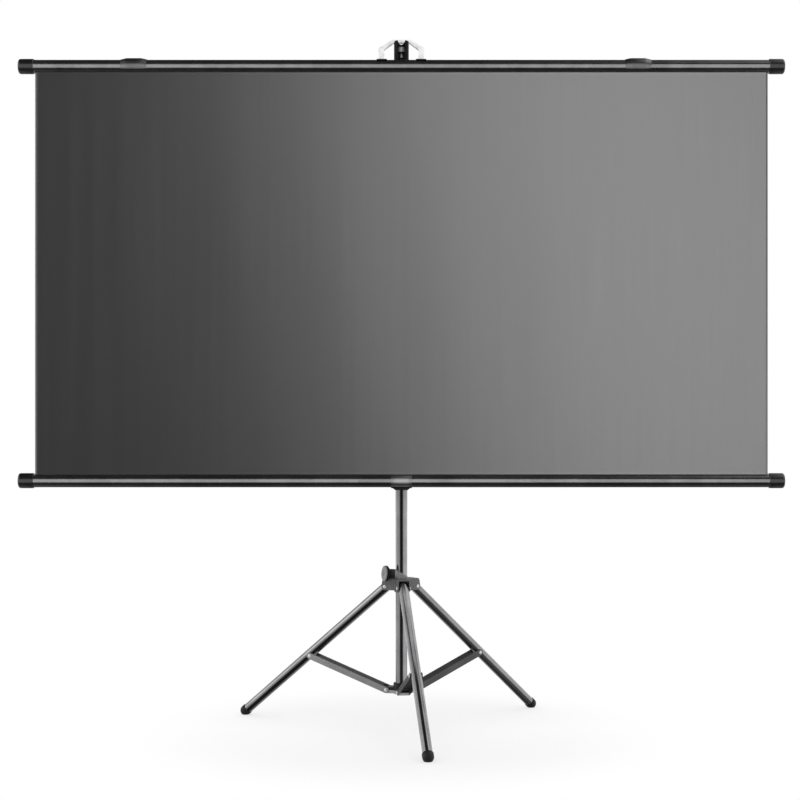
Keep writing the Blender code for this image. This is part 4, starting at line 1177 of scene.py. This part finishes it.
@dataclass
class Studio:
    """The camera, floor, lamps and world.

    Args:
        focal, sensor, clip, eye: The camera's lens and sensor in millimetres, its nearest and
            farthest distance, and its place.
        floor_radius, floor_sides, floor_drop, floor_colour: The floor's shape, how far it lies
            below the feet, and its colour.
        floor_fade, floor_least: The distance over which it turns into the backdrop, and the
            backdrop's share under the object.
        dark, soft: The azimuths in degrees of the dark front, and half the width of its edges.
        behind, back_low, back_high: The azimuths and the heights over which the backdrop
            comes in, and the heights over which it ends.
        wide: How far to the side it spares the side panels.
        upright, raised: The heights over which the side panels begin and end.
        lift, lift_height: How far to the right, and by how much, they end lower.
        facing: The depth over which the raised panels come in.
        left, right, under: The raised panels, and the one near the floor.
        lamps: The studio's lamps.
    """

    focal: float = 78.75
    sensor: float = 36.0
    clip: Span = (0.05, 200.0)
    eye: Point = (-0.0036, -4.4048, 0.8357)
    floor_radius: float = 40.0
    floor_sides: int = 96
    floor_drop: float = 0.0004
    floor_colour: Colour = (0.985, 0.985, 0.985)
    floor_fade: Span = (0.38, 0.72)
    floor_least: float = 0.55
    dark: Span = (-31.0, 33.0)
    soft: float = 13.0
    behind: Span = (80.0, 110.0)
    wide: Span = (0.25, 0.55)
    upright: Span = (-0.36, -0.18)
    raised: Span = (0.06, 0.28)
    lift: Span = (0.10, 0.40)
    lift_height: float = 0.17
    facing: Span = (-0.62, -0.35)
    left: Panel = Panel((0.46, 0.84), (0.74, 0.95), (-0.05, 0.35), (1.60, 0.78))
    right: Panel = Panel((0.10, 0.44), (0.93, 1.02), (0.15, 0.60), (0.36, 1.15))
    under: Panel = Panel((-0.75, 0.50), (-0.45, -0.20), (0.18, 0.36), (0.06, 0.60))
    back_low: Span = (-0.60, -0.30)
    back_high: Span = (0.14, 0.36)
    lamps: tuple[Lamp, ...] = (
        Lamp("cloth_key", (1.62, -5.6, 1.8), (1.62, 0.0, 1.8), (3.3, 5.2), 67.0,
             ("stretched_fabric",), 15.0),
        Lamp("top_bar_strip", (0.0, -1.2, 1.71), (0.0, 0.0, 1.71), (8.0, 1.35), 28.0,
             ("top_bar", "top_cap_left", "top_cap_right", "clip_shell_left", "clip_shell_right")),
        Lamp("low_bar_strip", (0.0, -1.2, 0.64), (0.0, 0.0, 0.64), (8.0, 1.22), 26.5,
             ("bottom_bar", "bottom_cap_left", "bottom_cap_right", "bar_cradle")),
        Lamp("left_strut_fill", (-3.3, -2.0, 0.3), (-0.2, 0.0, 0.13), (2.4, 2.4), 600.0,
             ("strut_left",)),
        Lamp("right_strut_fill", (3.0, -2.6, 0.3), (0.2, 0.0, 0.13), (2.4, 2.4), 150.0,
             ("strut_right",)),
        Lamp("leg_top", (0.02, -0.07, 0.50), (0.02, -0.07, 0.0), (0.20, 0.20), 0.09,
             ("leg_tube_front",)),
        Lamp("window_key", (0.0, -4.3, 2.0), (0.0, 0.08, 1.72), (1.4, 1.4), 12.0,
             ("inner_mast",)),
    )

    def build(self) -> None:
        """Set up the camera, floor and world."""
        self._camera()
        self._floor()
        self._world()
        bpy.context.scene.view_settings.view_transform = "Standard"
        LOG.info("studio ready")

    def light(self) -> None:
        """Put up the lamps, once the pieces that they light are there."""
        for lamp in self.lamps:
            lamp.build()

    def _camera(self) -> None:
        """Put the camera where the photograph was taken from."""
        data = bpy.data.cameras.new("camera")
        data.sensor_width = self.sensor
        data.lens = self.focal
        data.clip_start, data.clip_end = self.clip
        camera = bpy.data.objects.new("camera", data)
        camera.location = self.eye
        camera.rotation_euler = (math.pi / 2, 0.0, 0.0)
        bpy.context.scene.collection.objects.link(camera)
        bpy.context.scene.camera = camera

    def _floor(self) -> None:
        """Lay a pale floor that fades into the backdrop and keeps the shadow."""
        shape = bmesh.new()
        bmesh.ops.create_circle(shape, cap_ends=True, segments=self.floor_sides,
                                radius=self.floor_radius)
        floor = placed("floor", shape)
        floor.location.z = -self.floor_drop
        material = bpy.data.materials.new("floor_paint")
        material.use_nodes = True
        graph = Graph(material.node_tree)
        x, y, _ = graph.parts(graph.node("ShaderNodeNewGeometry", output="Position"))
        far = ((x * x + y * y) ** 0.5).ramp(*self.floor_fade, self.floor_least)
        camera = graph.node("ShaderNodeLightPath", output="Is Camera Ray")
        paint = graph.node("ShaderNodeBsdfDiffuse", sockets={"Color": (*self.floor_colour, 1.0)})
        backdrop = graph.node("ShaderNodeEmission", sockets={"Color": WHITE})
        mixed = graph.node("ShaderNodeMixShader", sockets={0: far * camera, 1: paint, 2: backdrop})
        graph.node("ShaderNodeOutputMaterial", sockets={"Surface": mixed})
        floor.data.materials.append(material)
        floor.visible_glossy = False

    def _ring(self, graph: Graph, x: Value, y: Value) -> tuple[Value, Value]:
        """Return what a reflection shows in a direction round the object.

        Args:
            graph: The graph to add to.
            x: The direction's part to the right.
            y: Its part away from the camera.

        Returns:
            How much lighter than the front it is, and the backdrop's share.
        """
        turn = x.turn(0.0 - y)
        low, high = (math.radians(edge) for edge in self.dark)
        soft = math.radians(self.soft)
        right = turn.ramp(high - soft, high + soft, 0.0, Seen.RIGHT.value - Seen.FRONT.value)
        left = (0.0 - turn).ramp(-low - soft, -low + soft, 0.0, Seen.LEFT.value - Seen.FRONT.value)
        start, end = (math.radians(edge) for edge in self.behind)
        return right + left, turn.absolute().ramp(start, end)

    def _world(self) -> None:
        """Fill the studio with plain light, and give reflections its dark front and pale sides."""
        world = bpy.data.worlds.new("studio")
        world.use_nodes = True
        bpy.context.scene.world = world
        graph = Graph(world.node_tree)
        x, y, z = graph.parts(graph.node("ShaderNodeTexCoord", output="Generated"))
        ring, back = self._ring(graph, x, y)
        side = x.absolute()
        rise = (z + x.ramp(*self.lift, 0.0, self.lift_height)).ramp(*self.raised)
        upright = z.ramp(*self.upright) * (1.0 - rise)
        level = ring * upright * side.ramp(*self.wide).larger(1.0 - back)
        raised = self.left.light(0.0 - x, y, z) + self.right.light(x, z, z)
        above = raised * rise * y.ramp(*self.facing)
        room = level + above + self.under.light(y, side, z) + Seen.FRONT.value
        low = z.ramp(*self.back_low) * (1.0 - z.ramp(*self.back_high))
        shown = room + (Seen.BACKDROP.value - room) * back * low
        glossy = graph.node("ShaderNodeLightPath", output="Is Glossy Ray")
        light = graph.node("ShaderNodeBackground",
                           sockets={"Color": WHITE, "Strength": 1.0 + (shown - 1.0) * glossy})
        graph.node("ShaderNodeOutputWorld", sockets={"Surface": light})


def main() -> None:
    """Build the studio and every sub-assembly in order."""
    logging.basicConfig(level=logging.INFO, format="%(name)s: %(message)s")
    studio = Studio()
    studio.build()
    for group in (Fabric(), Bars(), Clips(), MastHead(), Mast(), Knobs(), Tripod()):
        group.build()
        group.dress()
    studio.light()


if __name__ == "__main__":
    main()
